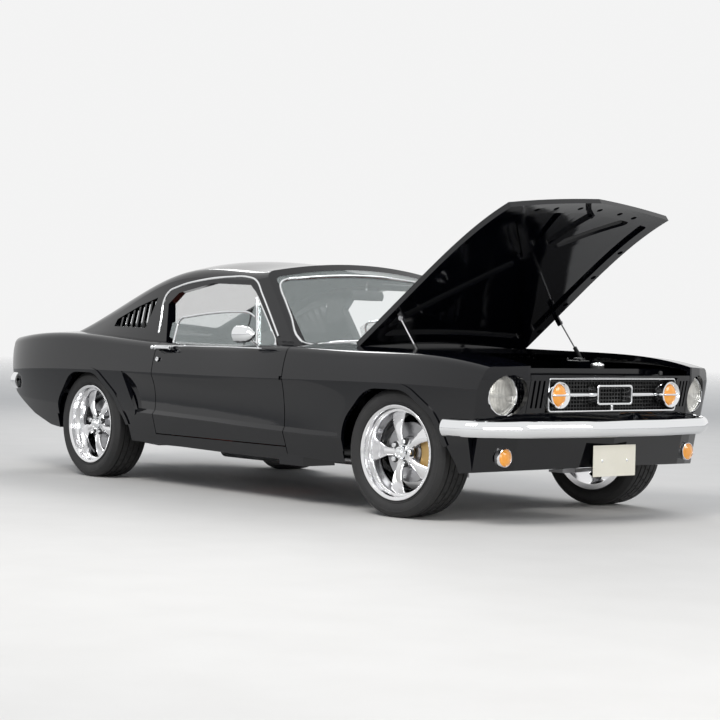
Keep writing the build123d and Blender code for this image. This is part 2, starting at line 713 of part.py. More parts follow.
def glass_plane(x_low, x_high, z_low, z_high, thickness):
    """A sheet leaning with the side windows, between two heights."""
    with BuildPart() as sheet:
        with BuildSketch(Plane.YZ.offset(x_low)):
            with BuildLine():
                lows = GLASS_BELT_Y - (z_low - DOOR_BELT_Z) * GLASS_SLOPE
                highs = GLASS_BELT_Y - (z_high - DOOR_BELT_Z) * GLASS_SLOPE
                half = thickness / 2
                Polyline(
                    (lows - half, z_low), (lows + half, z_low),
                    (highs + half, z_high), (highs - half, z_high), close=True,
                )
            make_face()
        extrude(amount=x_high - x_low)
    return sheet.part


with BuildPart() as door_left:
    add(outer.part)
    add(side_prism(DOOR_OUTLINE, DOOR_INNER_Y, 930), mode=Mode.INTERSECT)
    # inner upper corners, where the pillars' feet stand
    for x_low, x_high in ((464, DOOR_FRONT_X), (DOOR_REAR_X, -494)):
        add(block(x_low, x_high, 700, DOOR_INNER_Y + 32, 760, 860), mode=Mode.SUBTRACT)
    add(
        glass_plane(-490, GLASS_FRONT_X + 2, GLASS_LOW_Z, 860, SLOT_T),
        mode=Mode.SUBTRACT,
    )
    # handle: a bar on two posts
    with Locations(Location((-430, 864, 790), (0, 90, 0))):
        Cylinder(radius=8, height=170)
    for x in (-500, -360):
        with Locations(Location((x, 846, 790), (90, 0, 0))):
            Cylinder(radius=7, height=36)
    # notch for the body's ear, and the door's own ear below it
    add(
        block(
            HINGE_AXIS_X - 9, 700, HINGE_AXIS_Y - 14, 930,
            HINGE_LEVEL_Z - DOOR_EAR_L, HINGE_LEVEL_Z + DOOR_EAR_L + 5,
        ),
        mode=Mode.SUBTRACT,
    )
    with Locations((HINGE_AXIS_X, HINGE_AXIS_Y, HINGE_LEVEL_Z - DOOR_EAR_L / 2)):
        Cylinder(radius=DOOR_EAR_R, height=DOOR_EAR_L)
    add(
        block(
            HINGE_AXIS_X - 10, HINGE_AXIS_X, HINGE_AXIS_Y - 3, HINGE_AXIS_Y + 2,
            HINGE_LEVEL_Z - DOOR_EAR_L, HINGE_LEVEL_Z,
        )
    )
keep(door_left, "door_left")

with BuildPart() as door_glass_left:
    add(side_prism(PANE_POINTS, 600, 930))
    add(glass_plane(-600, GLASS_FRONT_X, GLASS_LOW_Z + 2, 1000, GLASS_T - 1), mode=Mode.INTERSECT)
    add(
        side_prism(VENT_POINTS, 560, 930)
        & glass_plane(170, 480, 806, 1100, GLASS_T - 1)
    )
    add(door_left.part, mode=Mode.SUBTRACT)
keep(door_glass_left, "door_glass_left")

# Windshield, rear window and trunk lid
with BuildPart() as windshield:
    add(upper_half(ROOF_T + SEAT_GAP, foot_z=620))
    mirror(about=Plane.XZ)
    add(shield_cut, mode=Mode.SUBTRACT)
    add(shield_front(GLASS_T), mode=Mode.INTERSECT)
    add(block(-400, 900, -900, 900, SHIELD_BASE_Z - 10, 1400), mode=Mode.INTERSECT)
keep(windshield, "windshield")

with BuildPart() as rear_window:
    add(upper_half(3))
    add(upper_half(3 + GLASS_T), mode=Mode.SUBTRACT)
    mirror(about=Plane.XZ)
    edge = SEAT_GAP
    add(
        plan_prism(
            [
                (REAR_WINDOW[0][0] - edge, REAR_WINDOW[0][1] - edge),
                (REAR_WINDOW[1][0] + edge, REAR_WINDOW[1][1] - edge),
                (REAR_WINDOW[1][0] + edge, edge - REAR_WINDOW[1][1]),
                (REAR_WINDOW[0][0] - edge, edge - REAR_WINDOW[0][1]),
            ],
            820, 1400,
        ),
        mode=Mode.INTERSECT,
    )
keep(rear_window, "rear_window")

LID_T = 28
with BuildPart() as trunk_lid:
    add(outer.part)
    add(lower_half(LID_T, -50), mode=Mode.SUBTRACT)
    add(plan_prism(LID_PLAN, 600, 950), mode=Mode.INTERSECT)
    add(side_prism(TAIL_LINE, -10, 930), mode=Mode.SUBTRACT)
    add(
        block(LID_FRONT_X - 12, LID_FRONT_X + 2, LID_EAR_Y - 1, LID_EAR_Y + 2 * EAR_L + 5, 700, 950),
        mode=Mode.SUBTRACT,
    )
    add(hinge_ear(LID_AXIS, LID_EAR_Y, -1))
    mirror(about=Plane.XZ)
keep(trunk_lid, "trunk_lid")

# Front panel between the fenders, with the grille opening
GRILLE_HALF = 462
GRILLE_LOW_Z = 538
GRILLE_HIGH_Z = 706
HEADER_HIGH_Z = 716
VALANCE_HALF = 790
SIGNAL_Y = 660
SIGNAL_Z = 326
SIGNAL_R = 42
PLATE_FACE_X = 2206
PLATE_Z = 302
PLATE_SPACING = 178
with BuildPart() as front_panel:
    add(face.part)
    add(
        block(FACE_X, 2400, -1, LAMP_INNER_Y - PANEL_GAP / 2, 250, HEADER_HIGH_Z)
        + block(FACE_X, 2400, -1, VALANCE_HALF, 250, FACE_LOW_Z - PANEL_GAP / 2),
        mode=Mode.INTERSECT,
    )
    add(block(FACE_X - 100, 2400, -2, GRILLE_HALF, GRILLE_LOW_Z, GRILLE_HIGH_Z), mode=Mode.SUBTRACT)
    # three gills between lamp and grille
    for y in (486, 514, 542):
        add(block(2100, 2400, y, y + 12, 560, 690), mode=Mode.SUBTRACT)
    with Locations(Location((2100, SIGNAL_Y, SIGNAL_Z), (0, 90, 0))):
        Cylinder(radius=SIGNAL_R, height=200, mode=Mode.SUBTRACT)
    # pad for the plate, with its two screw holes
    add(block(PLATE_FACE_X - 56, PLATE_FACE_X, -1, 100, PLATE_Z - 30, PLATE_Z + 30))
    with Locations(Location((PLATE_FACE_X, PLATE_SPACING / 2, PLATE_Z), (0, 90, 0))):
        Cylinder(radius=3.5, height=200, mode=Mode.SUBTRACT)
    mirror(about=Plane.XZ)
keep(front_panel, "front_panel")


def bumper(line, radii, z, height, depth):
    """A bumper blade bent round one end of the car, its section a crescent."""
    right = [(x, -y) for x, y in line]
    left = line[::-1]
    points = right + left if line[0][0] > 0 else (right + left)[::-1]
    with BuildPart() as blade:
        with BuildLine() as path:
            FilletPolyline(
                *[(x, y, z) for x, y in points],
                radius=radii + radii[::-1],
            )
        start = path.wires()[0]
        with BuildSketch(Plane(start @ 0, x_dir=(0, 0, 1), z_dir=start % 0)):
            with BuildLine():
                half = height / 2
                ThreePointArc((-half, -6), (0, depth), (half, -6))
                Line((half, -6), (half - 4, -10))
                ThreePointArc((half - 4, -10), (0, depth - 8), (4 - half, -10))
                Line((4 - half, -10), (-half, -6))
            make_face()
        sweep(path=start)
    return blade.part


FRONT_BUMPER_LINE = [(1905, 872), (2080, 850), (2225, 640), (2290, 250)]
REAR_BUMPER_LINE = [(-2100, 822), (-2205, 800), (-2268, 660), (-2290, 250)]
FRONT_BUMPER_RADII = [150, 220, 600]
REAR_BUMPER_RADII = [60, 150, 600]

with BuildPart() as front_bumper:
    add(bumper(FRONT_BUMPER_LINE, FRONT_BUMPER_RADII, 462, 78, 16))
    # brackets back to the front panel
    for side in (1, -1):
        add(block(2160, 2288, side * 330 - 20, side * 330 + 20, 450, 474))
    add(front_panel.part, mode=Mode.SUBTRACT)
keep(front_bumper, "front_bumper")

with BuildPart() as rear_bumper:
    add(bumper(REAR_BUMPER_LINE, REAR_BUMPER_RADII, 548, 100, 16))
    for side in (1, -1):
        add(block(-2297, -2175, side * 330 - 20, side * 330 + 20, 536, 560))
    add(whole_shell.part, mode=Mode.SUBTRACT)
keep(rear_bumper, "rear_bumper")

# Grille: a frame in the opening, a crate of bars behind it, a corral and its bars
MESH_X = 2128
MESH_T = 8
MESH_COLS = 18
MESH_ROWS = 5
FRAME_T = 5
CORRAL_W = 250
CORRAL_H = 95
FOG_Y = 400
FOG_R = 60
grille_z = (GRILLE_LOW_Z + GRILLE_HIGH_Z) / 2
frame_w = 2 * (GRILLE_HALF - SEAT_GAP)
frame_h = GRILLE_HIGH_Z - GRILLE_LOW_Z - 2 * SEAT_GAP
with BuildPart() as grille:
    with BuildSketch(Plane.YZ.offset(MESH_X)):
        with Locations((0, grille_z)):
            Rectangle(frame_w, frame_h)
            with GridLocations(frame_w / MESH_COLS, frame_h / MESH_ROWS, MESH_COLS, MESH_ROWS):
                Rectangle(frame_w / MESH_COLS - 6, frame_h / MESH_ROWS - 6, mode=Mode.SUBTRACT)
    extrude(amount=MESH_T)
    with BuildSketch(Plane.YZ.offset(MESH_X)):
        with Locations((0, grille_z)):
            Rectangle(frame_w, frame_h)
            Rectangle(frame_w - 2 * FRAME_T, frame_h - 2 * FRAME_T, mode=Mode.SUBTRACT)
    extrude(amount=66)
    with BuildSketch(Plane.YZ.offset(MESH_X + MESH_T)):
        with Locations((0, grille_z)):
            RectangleRounded(CORRAL_W, CORRAL_H, 16)
            RectangleRounded(CORRAL_W - 24, CORRAL_H - 24, 6, mode=Mode.SUBTRACT)
    extrude(amount=34)
    for side in (1, -1):
        add(
            block(
                MESH_X + MESH_T, MESH_X + 26,
                min(side * CORRAL_W / 2, side * (FOG_Y - FOG_R - 1)),
                max(side * CORRAL_W / 2, side * (FOG_Y - FOG_R - 1)),
                grille_z - 7, grille_z + 7,
            )
        )
    add(block(MESH_X + MESH_T, MESH_X + 26, -8, 8, GRILLE_LOW_Z + 1, grille_z - CORRAL_H / 2))
keep(grille, "grille")

with BuildPart() as fog_lamps:
    for side in (1, -1):
        with Locations(Location((MESH_X + MESH_T + 40, side * FOG_Y, grille_z), (0, 90, 0))):
            Cylinder(radius=FOG_R - 6, height=80)
        with Locations(Location((MESH_X + MESH_T + 72, side * FOG_Y, grille_z), (0, 90, 0))):
            Cylinder(radius=FOG_R, height=22)
keep(fog_lamps, "fog_lamps")

with BuildPart() as headlamps:
    for side in (1, -1):
        with BuildSketch(Plane.XZ.offset(-side * LAMP_Y)):
            with BuildLine():
                r = BUCKET_R - SEAT_GAP
                Polyline(
                    (LAMP_X + 5, LAMP_Z + LAMP_R - 4), (LAMP_X + 5, LAMP_Z + LAMP_R + 2),
                    (LAMP_X + 45, LAMP_Z + r - 2), (LAMP_X + 45, LAMP_Z + r),
                    (LAMP_X - 60, LAMP_Z + r), (LAMP_X - 60, LAMP_Z),
                    (LAMP_X + 14, LAMP_Z),
                )
                ThreePointArc(
                    (LAMP_X + 14, LAMP_Z),
                    (LAMP_X + 11, LAMP_Z + LAMP_R / 2),
                    (LAMP_X + 5, LAMP_Z + LAMP_R - 4),
                )
            make_face()
        revolve(axis=Axis((LAMP_X, side * LAMP_Y, LAMP_Z), (1, 0, 0)))
keep(headlamps, "headlamps")

with BuildPart() as turn_signals:
    for side in (1, -1):
        with Locations(Location((2092, side * SIGNAL_Y, SIGNAL_Z), (0, 90, 0))):
            Cylinder(radius=SIGNAL_R - SEAT_GAP, height=44)
keep(turn_signals, "turn_signals")

with BuildPart() as tail_lamps:
    for side in (1, -1):
        for y in TAIL_LAMP_YS:
            with Locations((-2228, side * y, TAIL_LAMP_Z)):
                Box(62, TAIL_LAMP_W - 2 * SEAT_GAP, TAIL_LAMP_H - 2 * SEAT_GAP)
keep(tail_lamps, "tail_lamps")

# Quarter louvres: slats behind the door window on each side
LOUVRES = 6
LOUVRE_STEP = 60
with BuildPart() as louvres_left:
    for i in range(LOUVRES):
        with BuildSketch(Plane.XY.offset(870)):
            with Locations((-1140 + i * LOUVRE_STEP, 660)):
                Rectangle(14, 110, rotation=-35)
        extrude(amount=230)
    add(side_prism(LOUVRE_OPENING, 560, 800, grow=-SEAT_GAP), mode=Mode.INTERSECT)
    add(upper_half(4), mode=Mode.INTERSECT)
    add(upper_half(ROOF_T), mode=Mode.SUBTRACT)
with BuildPart() as quarter_louvres:
    add(louvres_left.part)
    mirror(about=Plane.XZ)
keep(quarter_louvres, "quarter_louvres")

# Mirrors on the doors: a bullet on a stalk
with BuildPart() as mirror_left:
    with BuildSketch(Plane.XY.offset(876)):
        with BuildLine():
            Polyline(
                (345, 905), (345, 858), (390, 859), (428, 864), (455, 875), (474, 889), (482, 905),
                close=True,
            )
        make_face()
    revolve(axis=Axis((345, 905, 876), (1, 0, 0)))
    with BuildLine() as stalk_path:
        Line((410, 812, 803), (410, 890, 862))
    with BuildSketch(Plane(stalk_path.line @ 0, z_dir=stalk_path.line % 0)):
        Circle(7)
    sweep(path=stalk_path.line)
    add(door_left.part, mode=Mode.SUBTRACT)
keep(mirror_left, "mirror_left")

# Engine bay: aprons, wheel shelves, radiator support, cross member
APRON_T = 8
RAIL_Y = 372
RAIL_Z = 390
CROSS_Z = 220
with BuildPart() as bay_left:
    add(block(FIREWALL_X, BAY_FRONT_X, BAY_HALF, BAY_HALF + APRON_T, 300, SHELF_Z))
    add(block(FIREWALL_X, BAY_FRONT_X, BAY_HALF, 806, SHELF_Z - APRON_T, SHELF_Z))
    add(block(1430, 1560, BAY_HALF, 560, SHELF_Z, 770))
    add(block(BAY_FRONT_X, BAY_FRONT_X + APRON_T, 290, 806, 300, 745))
    add(block(BAY_FRONT_X, BAY_FRONT_X + APRON_T, -1, 300, 300, 340))
    add(block(BAY_FRONT_X, BAY_FRONT_X + APRON_T, -1, 300, 715, 745))
    # frame rail and cross member
    add(block(FIREWALL_X, 2300, RAIL_Y, BAY_HALF, 300, RAIL_Z) & (Pos(-SHELL_T, 0, 0) * outer.part))
    add(block(1440, 1550, -1, 400, CROSS_Z, 310))
    # lug for the hood's gas strut
    add(block(STRUT_LOW[0] - 14, STRUT_LOW[0] + 14, STRUT_Y - 24, STRUT_Y - 11 - SEAT_GAP, SHELF_Z - 2, STRUT_LOW[1] + 12))
    add(core, mode=Mode.INTERSECT)
with BuildPart() as engine_bay:
    add(bay_left.part)
    mirror(about=Plane.XZ)
keep(engine_bay, "engine_bay")

# Floor pan with its tunnel
with BuildPart() as floor_pan:
    add(block(BULKHEAD_X, CABIN_FRONT_X, -CABIN_HALF, CABIN_HALF, FLOOR_Z, FLOOR_Z + FLOOR_T))
    with BuildSketch(Plane.YZ.offset(BULKHEAD_X)):
        with BuildLine():
            Line((-TUNNEL_R, FLOOR_Z), (-TUNNEL_R, FLOOR_Z + 40))
            ThreePointArc((-TUNNEL_R, FLOOR_Z + 40), (0, FLOOR_Z + 40 + TUNNEL_R), (TUNNEL_R, FLOOR_Z + 40))
            Polyline((TUNNEL_R, FLOOR_Z + 40), (TUNNEL_R, FLOOR_Z), (-TUNNEL_R, FLOOR_Z))
        make_face()
    extrude(amount=CABIN_FRONT_X - BULKHEAD_X)
    with BuildSketch(Plane.YZ.offset(BULKHEAD_X)):
        with BuildLine():
            r = TUNNEL_R - 6
            Line((-r, FLOOR_Z - 5), (-r, FLOOR_Z + 40))
            ThreePointArc((-r, FLOOR_Z + 40), (0, FLOOR_Z + 40 + r), (r, FLOOR_Z + 40))
            Polyline((r, FLOOR_Z + 40), (r, FLOOR_Z - 5), (-r, FLOOR_Z - 5))
        make_face()
    extrude(amount=CABIN_FRONT_X - BULKHEAD_X, mode=Mode.SUBTRACT)
    add(block(-1700, TUB_FRONT_X + 10, TUB_INNER_Y, 900, 0, 700), mode=Mode.SUBTRACT)
    add(block(-1700, TUB_FRONT_X + 10, -900, -TUB_INNER_Y, 0, 700), mode=Mode.SUBTRACT)
keep(floor_pan, "floor_pan")

# Right-hand pieces
for left, name in (
    (fender_left, "fender_right"),
    (door_left, "door_right"),
    (door_glass_left, "door_glass_right"),
    (mirror_left, "mirror_right"),
    (quarter_left, "quarter_right"),
):
    right_piece = other_side(left.part)
    with BuildPart() as right:
        add(right_piece)
    keep(right, name)

# Tyres: one section turned about the wheel's axis, which is Y at the origin
BEAD_R = 219
with BuildPart() as tyre:
    with BuildSketch(Plane.XY):
        with BuildLine():
            half = TYRE_WIDTH / 2
            outside = [
                (RIM_R + 2, 95), (RIM_R + 24, half - 3), (RIM_R + 46, half), (TYRE_R - 12, half - 10),
                (TYRE_R - 3, half - 20), (TYRE_R, half - 34),
            ]
            Polyline(
                (BEAD_R, 95), *outside, *[(r, -y) for r, y in outside[::-1]], (BEAD_R, -95), close=True
            )
        make_face()
    revolve(axis=Axis.Y)

# Wheel: stepped barrel, five spokes that widen to the rim, hub, brake disc; the outer
# side faces +Y and one spoke points to the rear
SPOKES = 5
LIP_Y = 107
HUB_R = 70
SPOKE_ROOT_Y = 52
Spoke = namedtuple("Spoke", "radius middle_y width thickness")
SPOKE_SECTIONS = [Spoke(56, 40, 44, 40), Spoke(140, 40, 52, 30), Spoke(200, 28, 80, 24)]
DISC_R = 148
DISC_Y = -4
HUB_BACK_Y = -30
with BuildPart() as wheel:
    with BuildSketch(Plane.XY):
        with BuildLine():
            Polyline(
                (BEAD_R - SEAT_GAP, -96), (RIM_R, -96), (RIM_R, -104), (BEAD_R - 14, -104),
                (BEAD_R - 20, -60), (BEAD_R - 23, 0), (BEAD_R - 25, LIP_Y - 69),
                (BEAD_R - 15, LIP_Y - 36), (BEAD_R - 6, LIP_Y - 33), (BEAD_R - 4, LIP_Y - 6),
                (RIM_R - 9, LIP_Y), (RIM_R, LIP_Y), (RIM_R, 96),
                (BEAD_R - SEAT_GAP, 96), (BEAD_R - SEAT_GAP, -96),
            )
        make_face()
    revolve(axis=Axis.Y)
    with BuildSketch(Plane.XY):
        with BuildLine():
            Polyline(
                (0, HUB_BACK_Y), (HUB_R, HUB_BACK_Y), (HUB_R, SPOKE_ROOT_Y - 6),
                (HUB_R - 8, SPOKE_ROOT_Y), (34, SPOKE_ROOT_Y), (30, SPOKE_ROOT_Y + 24),
                (0, SPOKE_ROOT_Y + 29), (0, HUB_BACK_Y),
            )
        make_face()
    revolve(axis=Axis.Y)
    with BuildSketch(Plane.XZ.offset(-DISC_Y)):
        Circle(DISC_R)
    extrude(amount=24)
    for i in range(SPOKES):
        out = Plane.XZ.rotated((0, -180 - i * 360 / SPOKES, 0)).x_dir
        for cut in SPOKE_SECTIONS:
            with BuildSketch(Plane(origin=out * cut.radius, x_dir=(0, 1, 0), z_dir=out)):
                with BuildLine():
                    face_y = cut.middle_y + cut.thickness / 2
                    back_y = cut.middle_y - cut.thickness / 2
                    side = cut.width / 2
                    Polyline((face_y - 6, side), (back_y, side - 5), (back_y, 5 - side), (face_y - 6, -side))
                    ThreePointArc((face_y - 6, -side), (face_y, 0), (face_y - 6, side))
                make_face()
        loft()

# axle, side, steering angle, and how far the wheel has rolled on from the front ones
REAR_ROLL = 18
corners = {
    "fl": (FRONT_AXLE_X, 1, STEER_REST, 0),
    "fr": (FRONT_AXLE_X, -1, STEER_REST, 0),
    "rl": (REAR_AXLE_X, 1, 0, REAR_ROLL),
    "rr": (REAR_AXLE_X, -1, 0, REAR_ROLL),
}


def at_corner(piece, axle_x, side, steer, roll):
    """Place a piece made about the wheel's centre, outer side to +Y, at one corner."""
    placed = Pos(0, HALF_TRACK - KINGPIN_Y, 0) * Rot(0, -roll, 0) * piece
    if side < 0:
        placed = mirror(placed, about=Plane.XZ)
    return Location((axle_x, side * KINGPIN_Y, TYRE_R), (0, 0, steer)) * placed


for name, corner in corners.items():
    for piece, kind in ((tyre.part, "tyre"), (wheel.part, "wheel")):
        corner_piece = at_corner(piece, *corner)
        with BuildPart() as placed:
            add(corner_piece)
        keep(placed, f"{kind}_{name}")

# Steering knuckles with their brake calipers, made about the wheel's centre
PIN_R = 14
BALL_LOW_Z = -105
BALL_HIGH_Z = 120
KNUCKLE_Y = KINGPIN_Y - HALF_TRACK
STEER_ARM = 130
with BuildPart() as knuckle:
    with Locations((0, KNUCKLE_Y + 18, (BALL_LOW_Z + BALL_HIGH_Z) / 2)):
        Box(36, 30, BALL_HIGH_Z - BALL_LOW_Z)
    with Locations((0, KNUCKLE_Y, BALL_LOW_Z), (0, KNUCKLE_Y, BALL_HIGH_Z)):
        Cylinder(radius=18, height=26)
    add(block(-STEER_ARM, 0, KNUCKLE_Y - 12, KNUCKLE_Y + 12, -60, -44))
    # caliper over the disc's leading edge
    with BuildSketch(Plane.XZ.offset(-(DISC_Y + 22))):
        with BuildLine():
            CenterArc((0, 0), DISC_R + 16, -32, 64)
            CenterArc((0, 0), DISC_R - 52, -32, 64)
            Line(
                ((DISC_R + 16) * cos(radians(32)), (DISC_R + 16) * sin(radians(32))),
                ((DISC_R - 52) * cos(radians(32)), (DISC_R - 52) * sin(radians(32))),
            )
            Line(
                ((DISC_R + 16) * cos(radians(32)), -(DISC_R + 16) * sin(radians(32))),
                ((DISC_R - 52) * cos(radians(32)), -(DISC_R - 52) * sin(radians(32))),
            )
        make_face()
    extrude(amount=92)
    with BuildSketch(Plane.XZ.offset(-(DISC_Y + 6))):
        Circle(DISC_R + 6)
    extrude(amount=36, mode=Mode.SUBTRACT)
    add(block(0, DISC_R - 30, HUB_BACK_Y - 58, HUB_BACK_Y - 36, -22, 22))
    with Locations(Location((0, HUB_BACK_Y - 30 - SEAT_GAP, 0), (90, 0, 0))):
        Cylinder(radius=34, height=60)
for name in ("fl", "fr"):
    corner_piece = at_corner(knuckle.part, *corners[name])
    with BuildPart() as placed_knuckle:
        add(corner_piece)
    keep(placed_knuckle, "knuckle_left" if name == "fl" else "knuckle_right")

# Tie rod: one bar between the two steering arms, behind the axle
ARM_LOW_Z = TYRE_R - 60
left_eye_x = FRONT_AXLE_X - STEER_ARM * cos(radians(STEER_REST)) + 10
left_eye_y = KINGPIN_Y - STEER_ARM * sin(radians(STEER_REST))
right_eye_y = -KINGPIN_Y - STEER_ARM * sin(radians(STEER_REST))
with BuildPart() as tie_rod:
    with Locations(Location((left_eye_x, (left_eye_y + right_eye_y) / 2, ARM_LOW_Z - 12), (90, 0, 0))):
        Cylinder(radius=11, height=left_eye_y - right_eye_y - 20)
    for y in (left_eye_y, right_eye_y):
        with Locations((left_eye_x, y, ARM_LOW_Z - 12 - SEAT_GAP)):
            Cylinder(radius=16, height=24)
keep(tie_rod, "tie_rod")

# Front suspension: lower and upper arms, springs; the ball joints' faces lie on the knuckles
with BuildPart() as front_suspension:
    low_z = TYRE_R + BALL_LOW_Z - 13 - SEAT_GAP
    high_z = TYRE_R + BALL_HIGH_Z + 13 + SEAT_GAP
    for side in (1, -1):
        for z_low, z_high in ((low_z - 16, low_z), (high_z, high_z + 14)):
            with BuildSketch(Plane.XY.offset(z_low)):
                with Locations((FRONT_AXLE_X, side * KINGPIN_Y)):
                    Circle(22)
                with BuildLine():
                    Polyline(
                        (FRONT_AXLE_X - 20, side * KINGPIN_Y), (FRONT_AXLE_X + 20, side * KINGPIN_Y),
                        (FRONT_AXLE_X + 55, side * (BAY_HALF + 9)), (FRONT_AXLE_X - 55, side * (BAY_HALF + 9)),
                        close=True,
                    )
                make_face()
            extrude(amount=z_high - z_low)
        with Locations((FRONT_AXLE_X, side * 500, (high_z + 14 + SHELF_Z - APRON_T) / 2)):
            Cylinder(radius=44, height=SHELF_Z - APRON_T - high_z - 14)
        add(block(
            FRONT_AXLE_X - 50, FRONT_AXLE_X + 50,
            min(side * 340, side * (BAY_HALF + 12)), max(side * 340, side * (BAY_HALF + 12)),
            low_z - 16, CROSS_Z - SEAT_GAP,
        ))
        add(block(
            FRONT_AXLE_X - 50, FRONT_AXLE_X + 50,
            min(side * (BAY_HALF + APRON_T), side * (BAY_HALF + 12)),
            max(side * (BAY_HALF + APRON_T), side * (BAY_HALF + 12)),
            high_z, high_z + 14,
        ))
keep(front_suspension, "front_suspension")

# Rear axle with its differential, carried on leaf springs
AXLE_R = 38
SPRING_Y = 480
with BuildPart() as rear_axle:
    reach = HALF_TRACK + HUB_BACK_Y - SEAT_GAP
    with Locations(Location((REAR_AXLE_X, 0, TYRE_R), (90, 0, 0))):
        Cylinder(radius=34, height=2 * reach)
        Cylinder(radius=AXLE_R, height=2 * reach - 60)
    with Locations((REAR_AXLE_X, 0, TYRE_R)):
        Sphere(radius=98)
    with Locations(Location((REAR_AXLE_X + 110, 0, TYRE_R - 8), (0, 90, 0))):
        Cone(bottom_radius=80, top_radius=44, height=120)
keep(rear_axle, "rear_axle")

with BuildPart() as leaf_springs:
    for side in (1, -1):
        with BuildSketch(Plane.XZ.offset(-side * SPRING_Y)):
            with BuildLine():
                ThreePointArc((-960, 196), (REAR_AXLE_X, 216), (-1930, 330))
                ThreePointArc((-960, 214), (REAR_AXLE_X, 234), (-1930, 348))
                Line((-960, 196), (-960, 214))
                Line((-1930, 330), (-1930, 348))
            make_face()
        extrude(amount=30, both=True)
        add(block(REAR_AXLE_X - 40, REAR_AXLE_X + 40, side * SPRING_Y - 34, side * SPRING_Y + 34, 226, TYRE_R - AXLE_R - SEAT_GAP))
        add(block(-1000, -960, side * SPRING_Y - 24, side * SPRING_Y + 24, 205, FLOOR_Z - SEAT_GAP))
        add(block(-1930, -1900, side * SPRING_Y - 24, side * SPRING_Y + 24, 335, TRUNK_FLOOR_Z - FLOOR_T - SEAT_GAP))
keep(leaf_springs, "leaf_springs")

# Drive line
SHAFT_Z = 300
with BuildPart() as gearbox:
    with Locations(Location((900, 0, SHAFT_Z + 50), (0, 90, 0))):
        Cone(bottom_radius=112, top_radius=165, height=180)
    with Locations(Location((640, 0, SHAFT_Z), (0, 90, 0))):
        Cylinder(radius=84, height=380)
keep(gearbox, "gearbox")
with BuildPart() as driveshaft:
    shaft_end = REAR_AXLE_X + 170
    with Locations(Location(((450 + shaft_end) / 2, 0, SHAFT_Z + 4), (0, 90, 0))):
        Cylinder(radius=34, height=450 - shaft_end)
keep(driveshaft, "driveshaft")

# Engine: block, two leaning heads with covers, intake, fan
with BuildPart() as engine:
    with BuildSketch(Plane.YZ.offset(990)):
        with BuildLine():
            Polyline(
                (-110, 330), (110, 330), (150, 420), (190, 460), (300, 570), (215, 660),
                (120, 590), (-120, 590), (-215, 660), (-300, 570), (-190, 460), (-150, 420),
                close=True,
            )
        make_face()
    extrude(amount=540)
    for side in (1, -1):
        cover = Plane(origin=(1000, side * 262, 618), x_dir=(0, side * 0.707, -0.707), z_dir=(1, 0, 0))
        with BuildSketch(cover):
            Rectangle(120, 70)
        extrude(amount=520)
    add(block(1040, 1480, -120, 120, 590, 640))
    with Locations((1250, 0, 675)):
        Cylinder(radius=60, height=70)
    with Locations(Location((1620, 0, 520), (0, 90, 0))):
        Cylinder(radius=40, height=200)
    with Locations(Location((1730, 0, 520), (0, 90, 0))):
        Cylinder(radius=62, height=20)
    for i in range(6):
        fan_plane = Plane(origin=(1722, 0, 520), x_dir=(0, 1, 0), z_dir=(1, 0, 0)).rotated((0, 0, 0))
        with BuildSketch(fan_plane):
            with PolarLocations(120, 1, start_angle=i * 60):
                Rectangle(150, 56)
        extrude(amount=8)
    # mounts to the frame rails and legs on the cross member
    for side in (1, -1):
        inner = side * 100
        rail = side * (RAIL_Y - SEAT_GAP)
        add(block(1240, 1320, min(inner, rail), max(inner, rail), 356, RAIL_Z))
keep(engine, "engine")

with BuildPart() as air_cleaner:
    with Locations((1250, 0, 742)):
        Cylinder(radius=185, height=64)
    fillet(air_cleaner.edges().filter_by(GeomType.CIRCLE).sort_by(Axis.Z)[-1], radius=14)
keep(air_cleaner, "air_cleaner")

with BuildPart() as radiator:
    add(block(1950, 1998, -285, 285, 345, 742))
    add(block(1940, BAY_FRONT_X - SEAT_GAP, -285, 285, 716, 742))
    with Locations((1972, 120, 750)):
        Cylinder(radius=34, height=22)
keep(radiator, "radiator")

with BuildPart() as battery:
    add(block(1760, 1940, -428, -300, RAIL_Z + SEAT_GAP, 570))
keep(battery, "battery")

# Exhaust: two pipes with mufflers, hung under the floor
with BuildPart() as exhaust:
    for side in (1, -1):
        y = side * 250
        with Locations(Location((-500, y, 200), (0, 90, 0))):
            Cylinder(radius=26, height=3400)
        with Locations(Location((-350, y, 190), (0, 90, 0))):
            Cylinder(radius=46, height=560)
        with Locations((1190, y, 330)):
            Cylinder(radius=26, height=270)
        for x in (300, -850):
            add(block(x - 10, x + 10, y - 14, y + 14, 215, FLOOR_Z))
        add(block(1150, 1230, min(side * 180, side * 280), max(side * 180, side * 280), 430, 500))
    add(engine.part, mode=Mode.SUBTRACT)
keep(exhaust, "exhaust")

with BuildPart() as fuel_tank:
    add(block(-2080, -1720, -380, 380, 292, TRUNK_FLOOR_Z - FLOOR_T))
    fillet(fuel_tank.edges().filter_by(Axis.Z), radius=40)
keep(fuel_tank, "fuel_tank")

